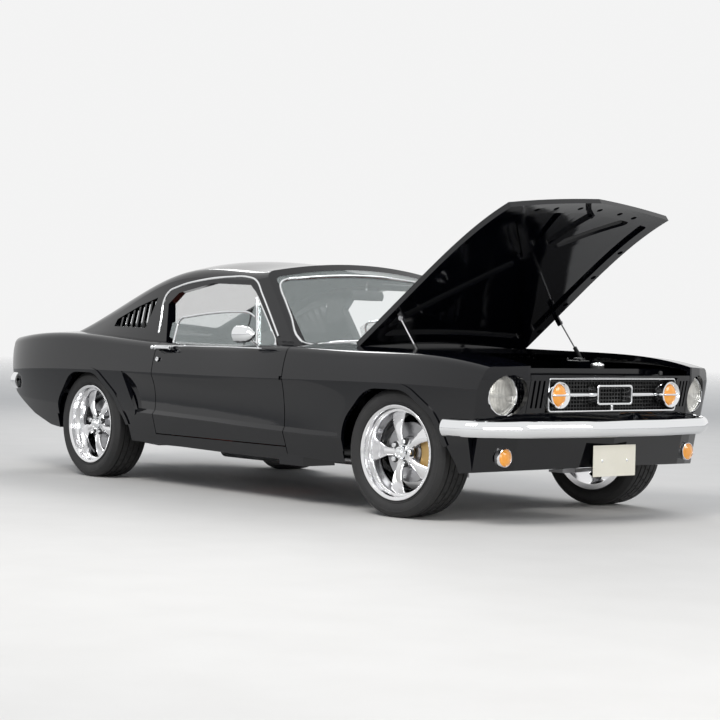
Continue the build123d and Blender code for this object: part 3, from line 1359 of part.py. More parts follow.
# Cabin
dash_front = CABIN_FRONT_X - SEAT_GAP
with BuildPart() as dashboard:
    with BuildSketch(Plane.XZ.offset(-690)):
        with BuildLine():
            Polyline((dash_front, 787), (dash_front, 620), (700, 600), (600, 640), (570, 700))
            ThreePointArc((570, 700), (590, 760), (640, 784))
            Line((640, 784), (dash_front, 787))
        make_face()
    extrude(amount=1380)
    # steering column out of the dash
    column = Plane(origin=WHEEL_CENTRE, z_dir=COLUMN_DIR)
    with BuildSketch(column.offset(28)):
        Circle(26)
    extrude(amount=330)
keep(dashboard, "dashboard")
with BuildPart() as steering_wheel:
    with BuildSketch(Plane(origin=WHEEL_CENTRE, x_dir=(0, 1, 0), z_dir=(0.316, 0, 0.949))):
        with Locations((WHEEL_R, 0)):
            Circle(13)
    revolve(axis=Axis(WHEEL_CENTRE, COLUMN_DIR))
    with BuildSketch(column.offset(-6)):
        Circle(42)
    extrude(amount=28 - SEAT_GAP + 6)
    with BuildSketch(column.offset(-4)):
        for turn in (0, 120, 240):
            with PolarLocations(WHEEL_R / 2, 1, start_angle=turn):
                Rectangle(WHEEL_R - 8, 26)
    extrude(amount=6)
keep(steering_wheel, "steering_wheel")

SEAT_Y = 372
SEAT_W = 480
SEAT_FOOT_Z = FLOOR_Z + FLOOR_T + SEAT_GAP
for name, side in (("seat_left", 1), ("seat_right", -1)):
    with BuildPart() as seat:
        with BuildSketch(Plane.XZ.offset(-(side * SEAT_Y + SEAT_W / 2))):
            with BuildLine():
                Polyline(
                    (-200, SEAT_FOOT_Z), (330, SEAT_FOOT_Z), (360, 300), (350, 400), (300, 436),
                    (-90, 400), (-270, 800),
                )
                ThreePointArc((-270, 800), (-320, 830), (-375, 800))
                Polyline((-375, 800), (-250, 380), (-200, SEAT_FOOT_Z))
            make_face()
        extrude(amount=SEAT_W)
    keep(seat, name)

with BuildPart() as rear_seat:
    with BuildSketch(Plane.XZ.offset(-560)):
        with BuildLine():
            Polyline((-1110, SEAT_FOOT_Z), (-640, SEAT_FOOT_Z), (-620, 300), (-640, 420), (-700, 440), (-930, 410), (-1010, 720))
            ThreePointArc((-1010, 720), (-1050, 750), (-1110, 740))
            Line((-1110, 740), (-1110, SEAT_FOOT_Z))
        make_face()
    extrude(amount=1120)
    with Locations(Location((-870, 0, FLOOR_Z + 40), (0, 90, 0))):
        Cylinder(radius=TUNNEL_R + 1, height=560, mode=Mode.SUBTRACT)
    add(block(-1150, -590, -TUNNEL_R - 1, TUNNEL_R + 1, 240, FLOOR_Z + 40), mode=Mode.SUBTRACT)
keep(rear_seat, "rear_seat")

# Wipers parked on the windshield's foot
with BuildPart() as wipers:
    for y in (330, -230):
        add(block(752, 772, y - 10, y + 10, 850, 872))
        add(block(752, 764, y - 10, y + 320, 868, 874))
    add(whole_shell.part, mode=Mode.SUBTRACT)
keep(wipers, "wipers")

# Hood gas struts: a tube on the shelf and a rod up to the hood, on each side
strut_dx = STRUT_HIGH[0] - STRUT_LOW[0]
strut_dz = STRUT_HIGH[1] - STRUT_LOW[1]
strut_len = sqrt(strut_dx**2 + strut_dz**2)
for name, side in (("left", 1), ("right", -1)):
    line = Plane(
        origin=(STRUT_LOW[0], side * STRUT_Y, STRUT_LOW[1]), z_dir=(strut_dx, 0, strut_dz)
    )
    with BuildPart() as tube:
        with BuildSketch(line.offset(12)):
            Circle(11)
        extrude(amount=TUBE_L - 12)
        with Locations(Location((STRUT_LOW[0], side * STRUT_Y, STRUT_LOW[1]), (90, 0, 0))):
            Cylinder(radius=14, height=22)
        with BuildSketch(line.offset(TUBE_BORE_START)):
            Circle(ROD_R + SEAT_GAP)
        extrude(amount=TUBE_L, mode=Mode.SUBTRACT)
    keep(tube, f"strut_tube_{name}")
    with BuildPart() as rod:
        with BuildSketch(line.offset(strut_len - ROD_L)):
            Circle(ROD_R)
        extrude(amount=ROD_L - 4)
        with Locations(Location((STRUT_HIGH[0], side * STRUT_Y, STRUT_HIGH[1]), (90, 0, 0))):
            Cylinder(radius=12, height=10)
    keep(rod, f"strut_rod_{name}")
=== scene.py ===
import json
import math
from math import cos, pi, radians, sin

import bpy
from mathutils import Matrix, Vector


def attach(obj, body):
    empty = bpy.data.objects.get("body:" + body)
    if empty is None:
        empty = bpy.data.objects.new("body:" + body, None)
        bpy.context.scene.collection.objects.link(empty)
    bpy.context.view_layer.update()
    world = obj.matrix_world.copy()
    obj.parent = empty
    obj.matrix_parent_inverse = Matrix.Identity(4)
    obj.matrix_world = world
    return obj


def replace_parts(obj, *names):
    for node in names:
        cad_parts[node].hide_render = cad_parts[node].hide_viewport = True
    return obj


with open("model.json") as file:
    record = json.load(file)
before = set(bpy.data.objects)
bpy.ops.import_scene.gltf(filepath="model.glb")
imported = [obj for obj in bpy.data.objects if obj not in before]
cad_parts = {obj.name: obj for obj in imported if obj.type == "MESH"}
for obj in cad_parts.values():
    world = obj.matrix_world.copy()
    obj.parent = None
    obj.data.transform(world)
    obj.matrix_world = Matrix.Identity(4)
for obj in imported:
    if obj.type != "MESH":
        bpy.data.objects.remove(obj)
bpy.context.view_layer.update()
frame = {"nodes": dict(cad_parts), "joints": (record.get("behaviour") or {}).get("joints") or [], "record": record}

nodes = frame["nodes"]
joints = {joint["name"]: joint for joint in frame["joints"]}

FORWARD, REARWARD = (1, 0, 0), (-1, 0, 0)
LEFTWARD, RIGHTWARD = (0, 1, 0), (0, -1, 0)
UPWARD, DOWNWARD = (0, 0, 1), (0, 0, -1)
ORIGIN = (0, 0, 0)


# Camera at the photograph's angle
PICTURE_PX = 720
EYE = Vector((8.26141, -6.80114, 0.89274))
YAW, PITCH, ROLL = 0.864967, 0.014239, 0.022217
FOCAL_PX = 1854.06
SENSOR_MM = 36

ahead = Vector((-sin(YAW) * cos(PITCH), cos(YAW) * cos(PITCH), -sin(PITCH)))
level_right = ahead.cross(Vector(UPWARD)).normalized()
level_up = level_right.cross(ahead)
right = level_right * cos(ROLL) + level_up * sin(ROLL)
up = level_up * cos(ROLL) - level_right * sin(ROLL)
camera_data = bpy.data.cameras.new("camera")
camera_data.sensor_width = SENSOR_MM
camera_data.lens = FOCAL_PX * SENSOR_MM / PICTURE_PX
camera_data.clip_end = 200
camera = bpy.data.objects.new("camera", camera_data)
camera.matrix_world = Matrix((right, up, -ahead)).transposed().to_4x4()
camera.location = EYE
bpy.context.scene.collection.objects.link(camera)
bpy.context.scene.camera = camera
bpy.context.scene.view_settings.view_transform = "Standard"


class Wire:
    """A shader socket that can be added and multiplied."""

    def __init__(self, nodes, socket):
        self.nodes = nodes
        self.socket = socket

    def math(self, operation, other):
        return self.nodes.node("ShaderNodeMath", {"operation": operation}, {0: self, 1: other})

    def __add__(self, other):
        return self.math("ADD", other)

    def __mul__(self, other):
        return self.math("MULTIPLY", other)

    __radd__ = __add__
    __rmul__ = __mul__


class Nodes:
    """A node tree, and the one way in which nodes are added to it."""

    def __init__(self, tree):
        self.tree = tree

    def node(self, kind, settings, inputs, output=0):
        """Add a node: its settings first, then its sockets' values or links."""
        made = self.tree.nodes.new(kind)
        for name, value in settings.items():
            setattr(made, name, value)
        for name, value in inputs.items():
            if isinstance(value, Wire):
                self.tree.links.new(value.socket, made.inputs[name])
            else:
                made.inputs[name].default_value = value
        return Wire(self, made.outputs[output])

    def blend(self, factor, low, high):
        """A colour between two shades."""
        shades = {"Factor": factor, "A": (*low, 1), "B": (*high, 1)}
        return self.node("ShaderNodeMix", {"data_type": "RGBA"}, shades, "Result")


class Finish(Nodes):
    """A material and the nodes that make it."""

    def __init__(self, name, color, roughness, metallic=0.0, **fixed):
        self.material = bpy.data.materials.new(name)
        self.material.use_nodes = True
        super().__init__(self.material.node_tree)
        self.shader = self.tree.nodes["Principled BSDF"]
        self.place = self.node("ShaderNodeTexCoord", {}, {}, "Object")
        self.shader.inputs["Base Color"].default_value = (*color, 1)
        self.shader.inputs["Roughness"].default_value = roughness
        self.shader.inputs["Metallic"].default_value = metallic
        for socket, value in fixed.items():
            self.shader.inputs[socket.replace("_", " ")].default_value = value

    def feed(self, socket, wire):
        self.tree.links.new(wire.socket, self.shader.inputs[socket])

    def noise(self, scale, detail=3.0):
        inputs = {"Vector": self.place, "Scale": scale, "Detail": detail}
        return self.node("ShaderNodeTexNoise", {}, inputs)

    def cells(self, scale):
        return self.node("ShaderNodeTexVoronoi", {}, {"Vector": self.place, "Scale": scale})

    def bump(self, height, strength, distance=0.001):
        inputs = {"Strength": strength, "Distance": distance, "Height": height}
        self.feed("Normal", self.node("ShaderNodeBump", {}, inputs))

    def worn(self, base, spread, scale):
        """Roughness that drifts over the surface."""
        self.feed("Roughness", self.noise(scale) * spread + (base - spread / 2))

    def tinted(self, low, high, scale):
        """Colour that drifts between two shades."""
        self.feed("Base Color", self.blend(self.noise(scale, 5.0), low, high))


# Finishes
black_paint = Finish("black_paint", (0.0015, 0.0017, 0.003), 0.05)
black_paint.worn(0.06, 0.03, 3)
black_paint.bump(black_paint.noise(900, 1.0), 0.015)

chrome = Finish("chrome", (0.87, 0.88, 0.89), 0.04, 1.0)
chrome.worn(0.05, 0.04, 8)

polished = Finish("polished_aluminium", (0.83, 0.83, 0.84), 0.1, 1.0)
polished.worn(0.12, 0.08, 20)

rubber = Finish("tyre_rubber", (0.012, 0.012, 0.013), 0.6)
rubber.tinted((0.01, 0.01, 0.011), (0.022, 0.021, 0.02), 14)
rubber.worn(0.62, 0.2, 30)
rubber.bump(rubber.noise(500), 0.15)

clear_glass = Finish("clear_glass", (0.75, 0.82, 0.82), 0.02, 1.0, Alpha=0.2)
clear_glass.worn(0.02, 0.02, 4)

LENS_COAT = {"Coat_Weight": 1.0, "Coat_Roughness": 0.02}
amber_lens = Finish("amber_lens", (0.95, 0.33, 0.02), 0.12, **LENS_COAT)
amber_lens.tinted((0.9, 0.28, 0.01), (1.0, 0.45, 0.05), 40)
amber_lens.bump(amber_lens.cells(260), 0.3)

red_lens = Finish("red_lens", (0.45, 0.01, 0.01), 0.12, **LENS_COAT)
red_lens.tinted((0.38, 0.005, 0.005), (0.6, 0.02, 0.015), 30)
red_lens.bump(red_lens.cells(300), 0.3)

lamp_glass = Finish("lamp_glass", (0.6, 0.58, 0.52), 0.1, 0.6, **LENS_COAT)
lamp_glass.tinted((0.4, 0.39, 0.35), (0.8, 0.78, 0.72), 38)
flutes = {"Vector": lamp_glass.place, "Scale": 34, "Distortion": 1.2}
lamp_glass.bump(lamp_glass.node("ShaderNodeTexWave", {"bands_direction": "Y"}, flutes, 1), 0.5, 0.002)

steel = Finish("plain_steel", (0.38, 0.38, 0.39), 0.35, 1.0)
steel.worn(0.38, 0.2, 20)

iron = Finish("engine_iron", (0.05, 0.05, 0.055), 0.5, 0.3)
iron.worn(0.5, 0.2, 30)
iron.bump(iron.noise(220), 0.25)

gold_iron = Finish("gold_iron", (0.52, 0.34, 0.13), 0.38, 0.6)
gold_iron.worn(0.38, 0.2, 30)
gold_iron.bump(gold_iron.noise(200), 0.2)

cast_alloy = Finish("cast_alloy", (0.55, 0.55, 0.57), 0.42, 1.0)
cast_alloy.worn(0.42, 0.2, 25)
cast_alloy.bump(cast_alloy.noise(260), 0.25)

satin_black = Finish("satin_black", (0.012, 0.012, 0.012), 0.4)
satin_black.worn(0.42, 0.16, 20)

black_plastic = Finish("black_plastic", (0.015, 0.015, 0.015), 0.45)
black_plastic.worn(0.45, 0.14, 25)
black_plastic.bump(black_plastic.noise(420), 0.15)

red_leather = Finish("red_leather", (0.42, 0.09, 0.055), 0.48, Coat_Weight=0.15)
red_leather.tinted((0.36, 0.07, 0.045), (0.48, 0.115, 0.07), 9)
red_leather.worn(0.48, 0.16, 18)
red_leather.bump(red_leather.cells(320), 0.2)

plate_enamel = Finish("plate_enamel", (0.78, 0.74, 0.62), 0.35, Coat_Weight=0.5, Coat_Roughness=0.1)
plate_enamel.tinted((0.74, 0.7, 0.58), (0.82, 0.78, 0.67), 12)

looking_glass = Finish("looking_glass", (0.92, 0.93, 0.94), 0.01, 1.0)
looking_glass.worn(0.015, 0.01, 6)

BY_SLOT = {
    "paint": black_paint, "chrome": chrome, "amber": amber_lens, "red_lens": red_lens,
    "lamp_glass": lamp_glass, "glass": clear_glass, "steel": steel, "iron": iron,
    "gold_iron": gold_iron, "aluminium": cast_alloy, "dark_metal": satin_black,
    "black_steel": satin_black, "black_plastic": black_plastic, "dash": red_leather,
    "leather": red_leather, "tyre": rubber, "wheel": polished,
}
for part in frame["record"]["subparts"]:
    node = nodes[part["node"]]
    node.data.materials.clear()
    node.data.materials.append(BY_SLOT[part["material_slot"]].material)


# Ways of choosing and placing
def chosen(*pieces):
    """Select some pieces alone, or none, and make the first one active."""
    bpy.ops.object.select_all(action="DESELECT")
    for piece in pieces:
        piece.select_set(True)
    if pieces:
        bpy.context.view_layer.objects.active = pieces[0]


def all_of_it():
    bpy.ops.mesh.select_all(action="SELECT")


def edit(piece, kind="VERT"):
    """Open a piece in edit mode with everything selected."""
    chosen(piece)
    bpy.ops.object.mode_set(mode="EDIT")
    bpy.ops.mesh.select_mode(type=kind)
    all_of_it()


def leave():
    bpy.ops.object.mode_set(mode="OBJECT")


def pick(piece, test):
    """Open a piece with only the faces selected whose middle and normal pass the test."""
    mesh = piece.data
    for item in list(mesh.vertices) + list(mesh.edges):
        item.select = False
    for face in mesh.polygons:
        face.select = test(face.center, face.normal)
    chosen(piece)
    bpy.ops.object.mode_set(mode="EDIT")
    bpy.ops.mesh.select_mode(type="FACE")


def settle():
    """Put the place, turn and scale of what is selected into its mesh."""
    bpy.ops.object.transform_apply(location=True, rotation=True, scale=True)


def sized(name, size=(1, 1, 1)):
    """Name the primitive just added and give it its size."""
    piece = bpy.context.object
    piece.name = name
    bpy.ops.transform.resize(value=size)
    settle()
    return piece


def moved(piece, matrix):
    """Carry a piece to its place."""
    piece.matrix_world = matrix
    chosen(piece)
    settle()
    return piece


def outwards(piece):
    """Turn the normals of a piece outwards."""
    edit(piece)
    bpy.ops.mesh.normals_make_consistent(inside=False)
    leave()
    return piece


def tidied(piece):
    """Merge doubles and turn the normals outwards."""
    edit(piece)
    bpy.ops.mesh.remove_doubles(threshold=0.00002)
    bpy.ops.mesh.normals_make_consistent(inside=False)
    leave()
    return piece


def copied(piece, name):
    """A copy with its own mesh, where the piece is."""
    chosen(piece)
    bpy.ops.object.duplicate(linked=False)
    copy = bpy.context.object
    copy.name = name
    return copy


def joined(name, pieces):
    """Several pieces made into one."""
    chosen(*pieces)
    if len(pieces) > 1:
        bpy.ops.object.join()
    pieces[0].name = name
    return pieces[0]


def around(piece, count, centre, axis):
    """The piece and its copies in equal turns about an axis, made into one."""
    ring = [piece]
    there = Matrix.Translation(centre)
    for i in range(1, count):
        turn = Matrix.Rotation(i * 2 * pi / count, 4, Vector(axis))
        ring.append(moved(copied(piece, f"{piece.name}_{i}"), there @ turn @ there.inverted()))
    return joined(piece.name, ring)


def mirrored(piece, name):
    """A copy on the other side of the car."""
    return outwards(moved(copied(piece, name), Matrix.Diagonal((1, -1, 1, 1))))


# Ways of shaping
def inset(thickness, step=(0, 0, 0), **how):
    """Inset what is selected and move the inner faces by a step."""
    bpy.ops.mesh.inset(thickness=thickness, **how)
    bpy.ops.transform.translate(value=step)


def extruded(step):
    bpy.ops.mesh.extrude_region_move(TRANSFORM_OT_translate={"value": step})


def sharp_edges_rounded(piece, angle, offset, segments):
    """Bevel the edges of a piece that turn by more than an angle."""
    edit(piece, "EDGE")
    bpy.ops.mesh.select_all(action="DESELECT")
    bpy.ops.mesh.edges_select_sharp(sharpness=radians(angle))
    bpy.ops.mesh.bevel(offset=offset, segments=segments, affect="EDGES")
    leave()


def drawn(name, points, closed=False):
    """A chain of edges, drawn by extruding one point after another; edit mode stays open."""
    chosen()
    bpy.ops.mesh.primitive_plane_add(size=0.001, location=points[0])
    piece = sized(name)
    edit(piece)
    bpy.ops.mesh.merge(type="CENTER")
    for a, b in zip(points, points[1:]):
        bpy.ops.mesh.extrude_vertices_move(TRANSFORM_OT_translate={"value": Vector(b) - Vector(a)})
    if closed:
        leave()
        ends = (0, len(points) - 1)
        for vertex in piece.data.vertices:
            vertex.select = vertex.index in ends
        bpy.ops.object.mode_set(mode="EDIT")
        bpy.ops.mesh.edge_face_add()
    return piece


def turned(name, profile, centre, axis, steps=48, closed=False):
    """A profile of distances along and out from an axis, spun about it."""
    axis = Vector(axis).normalized()
    out = axis.orthogonal().normalized()
    line = [Vector(centre) + axis * along + out * far for along, far in profile]
    piece = drawn(name, line, closed)
    all_of_it()
    bpy.ops.mesh.spin(steps=steps, angle=2 * pi, center=centre, axis=axis)
    leave()
    return tidied(piece)


def bar(name, points, radius, smooth=True, closed=False, sides=2):
    """A round bar along a line of points."""
    drawn(name, points, closed)
    leave()
    bpy.ops.object.convert(target="CURVE")
    curve = bpy.context.object
    if smooth:
        bpy.ops.object.mode_set(mode="EDIT")
        bpy.ops.curve.select_all(action="SELECT")
        bpy.ops.curve.spline_type_set(type="BEZIER")
        bpy.ops.curve.handle_type_set(type="AUTOMATIC")
        leave()
        curve.data.resolution_u = 5
    curve.data.bevel_depth = radius
    curve.data.bevel_resolution = sides
    curve.data.use_fill_caps = True
    bpy.ops.object.convert(target="MESH")
    return tidied(bpy.context.object)


def slab(name, low, high, edge=0.002, segments=2):
    """A block between two corners with its edges rounded."""
    low, high = Vector(low), Vector(high)
    chosen()
    bpy.ops.mesh.primitive_cube_add(size=1, location=(low + high) / 2)
    piece = sized(name, high - low)
    edit(piece)
    bpy.ops.mesh.bevel(offset=edge, segments=segments, affect="EDGES")
    leave()
    return piece


FACING = {"X": (pi / 2, 0, pi / 2), "Y": (pi / 2, 0, 0)}


def ringed(name, facing, rings, sides=16):
    """Oval rings that face along X or Y, bridged into one closed skin. A ring is its
    middle and its half sizes along X, Y and Z."""
    chosen()
    made = []
    for middle, halves in rings:
        bpy.ops.mesh.primitive_circle_add(
            vertices=sides, radius=1, location=middle, rotation=FACING[facing]
        )
        made.append(sized(name, halves))
    piece = joined(name, made)
    edit(piece)
    bpy.ops.mesh.bridge_edge_loops()
    all_of_it()
    bpy.ops.mesh.fill_holes(sides=0)
    leave()
    return outwards(piece)


def upright_frame(name, middle, wide, tall, band, depth, corner, edge=0.0015):
    """A flat frame that faces forward, with round corners."""
    chosen()
    bpy.ops.mesh.primitive_plane_add(size=1, location=middle, rotation=(0, pi / 2, 0))
    piece = sized(name, (1, wide, tall))
    edit(piece)
    bpy.ops.mesh.bevel(offset=corner, segments=6, affect="VERTICES")
    bpy.ops.mesh.select_mode(type="FACE")
    all_of_it()
    inset(band)
    bpy.ops.mesh.delete(type="FACE")
    all_of_it()
    extruded((depth, 0, 0))
    leave()
    tidied(piece)
    sharp_edges_rounded(piece, 60, edge, 2)
    return piece


# Ways of finishing
def done(piece, slot, body="body", finish=None, smooth=35, stands_for=()):
    """Give a piece its finish, its smooth shading and the body that it rides on."""
    chosen(piece)
    bpy.ops.object.shade_smooth_by_angle(angle=radians(smooth))
    piece.data.materials.clear()
    piece.data.materials.append((finish or BY_SLOT[slot]).material)
    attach(piece, body)
    if stands_for:
        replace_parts(piece, *stands_for)
    return piece


DOORS = ("door_left", "door_right")


def pair(piece, name, slot, bodies=("body", "body"), finish=None):
    """Finish a piece of the left side and its mirror on the right, and give back the left one."""
    other = mirrored(piece, f"{name}_right")
    piece.name = f"{name}_left"
    done(piece, slot, bodies[0], finish)
    done(other, slot, bodies[1], finish)
    return piece


# Ways of finding a place on the solids
SHELL = ("body_shell", "roof", "quarter_left", "quarter_right")
LEFT_OF_CAR = 1.3
ABOVE_CAR = 2
BEHIND_CAR = -3


def against(names, start, direction):
    """Where a line first meets one of some nodes."""
    start, hits = Vector(start), []
    for name in names:
        found, point, _, _ = nodes[name].ray_cast(start, Vector(direction))
        if found:
            hits.append(point)
    return min(hits, key=lambda point: (point - start).length)


def beside(names, line, proud):
    """Points of a side outline, X and Z, laid on the left of some nodes."""
    hits = [against(names, (x, LEFT_OF_CAR, z), RIGHTWARD) for x, z in line]
    return [Vector((x, hit.y + proud, z)) for (x, z), hit in zip(line, hits)]


def above(names, line, proud):
    """Points of a plan outline, X and Y, laid on top of some nodes."""
    hits = [against(names, (x, y, ABOVE_CAR), DOWNWARD) for x, y in line]
    return [Vector((x, y, hit.z + proud)) for (x, y), hit in zip(line, hits)]


def round_car(half_line, flip):
    """A line from the middle of the car, closed by its mirror on the other side."""
    return half_line + [flip(point) for point in half_line[-2:0:-1]]


# Wheels: made about their centre with the outer side to +Y, then carried to each corner
RIM_PROFILE = [
    (-0.104, 0.2337), (-0.104, 0.205), (-0.06, 0.199), (-0.01, 0.192), (0.004, 0.1855), (0.014, 0.184),
    (0.022, 0.1845), (0.03, 0.187), (0.05, 0.1955), (0.068, 0.2), (0.0715, 0.2025), (0.0722, 0.2075),
    (0.0728, 0.2115), (0.0765, 0.2133), (0.097, 0.2145), (0.101, 0.2165),
    (0.1045, 0.2225), (0.107, 0.2265), (0.1078, 0.2305), (0.106, 0.2337), (0.0965, 0.234), (0.094, 0.2187),
    (-0.094, 0.2187), (-0.0965, 0.2337),
]
HUB_PROFILE = [
    (-0.03, 0), (-0.03, 0.068), (0.044, 0.07), (0.05, 0.066), (0.052, 0.06), (0.0515, 0.038), (0.05, 0),
]
CAP_PROFILE = [
    (0.048, 0), (0.048, 0.036), (0.056, 0.0355), (0.07, 0.0325), (0.076, 0.029), (0.0785, 0.0235),
    (0.0775, 0.02), (0.081, 0.017), (0.0825, 0.01), (0.083, 0),
]
DISC_PROFILE = [
    (-0.004, 0.148), (-0.004, 0.08), (0.002, 0.076), (0.002, 0.05), (-0.028, 0.05), (-0.028, 0.148),
    (-0.021, 0.148), (-0.02, 0.14), (-0.012, 0.14), (-0.011, 0.148),
]
# distance from the axis, middle along the axle, half width, half depth
SPOKE_RINGS = [
    (0.045, 0.034, 0.023, 0.018), (0.07, 0.0385, 0.0195, 0.0175), (0.095, 0.04, 0.0205, 0.017),
    (0.12, 0.0385, 0.0255, 0.016), (0.143, 0.034, 0.0325, 0.015), (0.163, 0.027, 0.0385, 0.0135),
    (0.179, 0.02, 0.042, 0.0115), (0.19, 0.015, 0.044, 0.0095),
]
TYRE_HALF = [
    (0.095, 0.219), (0.0965, 0.2335), (0.1, 0.238), (0.1045, 0.2405), (0.106, 0.244), (0.1035, 0.2465),
    (0.1075, 0.255), (0.1112, 0.268), (0.1125, 0.28), (0.1118, 0.2845), (0.1128, 0.287), (0.1105, 0.2925),
    (0.1062, 0.3), (0.1005, 0.3062), (0.095, 0.3112), (0.0915, 0.3148), (0.087, 0.3158), (0.0625, 0.3165),
    (0.0615, 0.3095), (0.0545, 0.3095), (0.0535, 0.3168), (0.0235, 0.317), (0.0225, 0.31), (0.0155, 0.31),
    (0.0145, 0.317),
]
NUT_WELL = [(0.045, 0.0185), (0.0535, 0.0185), (0.0545, 0.0175), (0.0528, 0.016), (0.0528, 0)]
SPOKES = 5
NUT_CIRCLE = 0.057
REAR_ROLL = radians(-18)
TREAD_STEPS = 96
TREAD_R = 0.3162
TREAD_HALF = 0.086
RIB_PITCH = 0.038
CUT_EVERY = 3
CORNERS = {"fl": 1, "fr": -1, "rl": 1, "rr": -1}


def wheel_pieces():
    """Rim with its spokes, chrome cap and nuts, black nut wells and brake disc."""
    rim = turned("rim", RIM_PROFILE, ORIGIN, LEFTWARD, 96, closed=True)
    hub = turned("hub", HUB_PROFILE, ORIGIN, LEFTWARD, 40)
    rings = [((-far, along, 0), (1, deep, wide)) for far, along, wide, deep in SPOKE_RINGS]
    spokes = around(ringed("spoke", "X", rings, 24), SPOKES, ORIGIN, LEFTWARD)
    cap = turned("cap", CAP_PROFILE, ORIGIN, LEFTWARD, 40)
    chosen()
    bpy.ops.mesh.primitive_cylinder_add(
        vertices=6, radius=0.0125, depth=0.022, location=(NUT_CIRCLE, 0.058, 0), rotation=(pi / 2, 0, 0)
    )
    nut = sized("nut")
    pick(nut, lambda middle, normal: normal.y > 0.9)
    inset(0.003, (0, 0.004, 0))
    leave()
    nuts = around(nut, SPOKES, ORIGIN, LEFTWARD)
    wells = around(turned("well", NUT_WELL, (NUT_CIRCLE, 0, 0), LEFTWARD, 28), SPOKES, ORIGIN, LEFTWARD)
    disc = turned("disc", DISC_PROFILE, ORIGIN, LEFTWARD, 64, closed=True)
    return joined("rim", [rim, hub, spokes]), joined("cap", [cap, nuts]), wells, disc


def tyre_piece():
    """A tyre with four grooves and cuts across its ribs."""
    profile = TYRE_HALF + [(-along, far) for along, far in reversed(TYRE_HALF)]
    tyre = turned("tyre", profile, ORIGIN, LEFTWARD, TREAD_STEPS, closed=True)

    def cut_across(middle, normal):
        far = (middle.x**2 + middle.z**2) ** 0.5
        step = round(math.atan2(middle.z, middle.x) / (2 * pi / TREAD_STEPS) - 0.5)
        rib = round(middle.y / RIB_PITCH)
        return far > TREAD_R and abs(middle.y) < TREAD_HALF and (step + rib) % CUT_EVERY == 0

    pick(tyre, cut_across)
    inset(0.0045, use_individual=True)
    bpy.ops.mesh.extrude_region_shrink_fatten(TRANSFORM_OT_shrink_fatten={"value": -0.003})
    leave()
    return tyre


def at_corner(piece, name, corner):
    """A copy carried to one corner's spin axis."""
    spin = joints[f"wheel_{corner}_spin"]
    axle = Vector(spin["axis"]) * CORNERS[corner]
    forward = axle.cross(Vector(UPWARD)) * CORNERS[corner]
    along = Matrix((forward, axle, UPWARD)).transposed().to_4x4()
    roll = Matrix.Rotation(0 if corner[0] == "f" else REAR_ROLL, 4, "Y")
    return outwards(moved(copied(piece, name), Matrix.Translation(spin["pos_m"]) @ along @ roll))


rim, cap, wells, disc = wheel_pieces()
tyre = tyre_piece()
for corner in CORNERS:
    wheel = f"wheel_{corner}"
    done(at_corner(rim, f"rim_{corner}", corner), "wheel", wheel, smooth=32, stands_for=[wheel])
    done(at_corner(cap, f"hub_cap_{corner}", corner), "chrome", wheel, smooth=32)
    done(at_corner(wells, f"nut_wells_{corner}", corner), "dark_metal", wheel)
    done(at_corner(disc, f"brake_disc_{corner}", corner), "steel", wheel)
    road_tyre = at_corner(tyre, f"road_tyre_{corner}", corner)
    done(road_tyre, "tyre", wheel, smooth=30, stands_for=[f"tyre_{corner}"])
for piece in (rim, cap, wells, disc, tyre):
    bpy.data.objects.remove(piece)


# Lamps
LAMP = Vector((2.085, 0.675, 0.619))
LAMP_RING = [
    (0.002, 0.089), (0.012, 0.0872), (0.02, 0.0878), (0.0265, 0.0915), (0.0262, 0.095), (0.02, 0.0968),
    (0.002, 0.0968),
]
LAMP_LENS = [
    (0.008, 0), (0.008, 0.0885), (0.013, 0.0868), (0.0165, 0.076), (0.021, 0.052), (0.0235, 0.026),
    (0.0243, 0),
]
lens = turned("lens", LAMP_LENS, LAMP, FORWARD, 64)
pair(turned("ring", LAMP_RING, LAMP, FORWARD, 64, closed=True), "headlamp_ring", "chrome")
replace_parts(pair(lens, "headlamp_lens", "lamp_glass"), "headlamps")

FOG = Vector((2.197, 0.4, 0.622))
FOG_SHELL = [
    (-0.058, 0), (-0.056, 0.03), (-0.045, 0.05), (-0.02, 0.0585), (0.006, 0.0615), (0.014, 0.0645),
    (0.0205, 0.0645), (0.0238, 0.062), (0.0235, 0.0585), (0.018, 0.053), (0.012, 0.047),
    (0.009, 0.0455), (0.008, 0),
]
FOG_LENS = [(0.006, 0), (0.006, 0.0464), (0.0125, 0.0458), (0.0185, 0.038), (0.0215, 0.02), (0.0222, 0)]
pair(turned("shell", FOG_SHELL, FOG, FORWARD, 56), "fog_bezel", "chrome")
lens = pair(turned("lens", FOG_LENS, FOG, FORWARD, 56), "fog_lens", "amber")
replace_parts(lens, "fog_lamps")
FOG_BAR = (FOG + Vector((0.014, -0.05, -0.0045)), FOG + Vector((0.026, 0.05, 0.0045)))
pair(slab("bar", *FOG_BAR, 0.003, 3), "fog_bar", "chrome")

SIGNAL = Vector((2.114, 0.66, 0.326))
SIGNAL_RING = [
    (-0.024, 0.0405), (-0.024, 0.044), (0.001, 0.0445), (0.0055, 0.0435), (0.0065, 0.041), (0.003, 0.0385),
    (-0.006, 0.038),
]
SIGNAL_LENS = [(-0.012, 0), (-0.012, 0.0385), (0.0035, 0.038), (0.01, 0.028), (0.0145, 0.014), (0.016, 0)]
pair(turned("ring", SIGNAL_RING, SIGNAL, FORWARD, 44, closed=True), "signal_ring", "chrome")
lens = pair(turned("lens", SIGNAL_LENS, SIGNAL, FORWARD, 44), "signal_lens", "amber")
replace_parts(lens, "turn_signals")


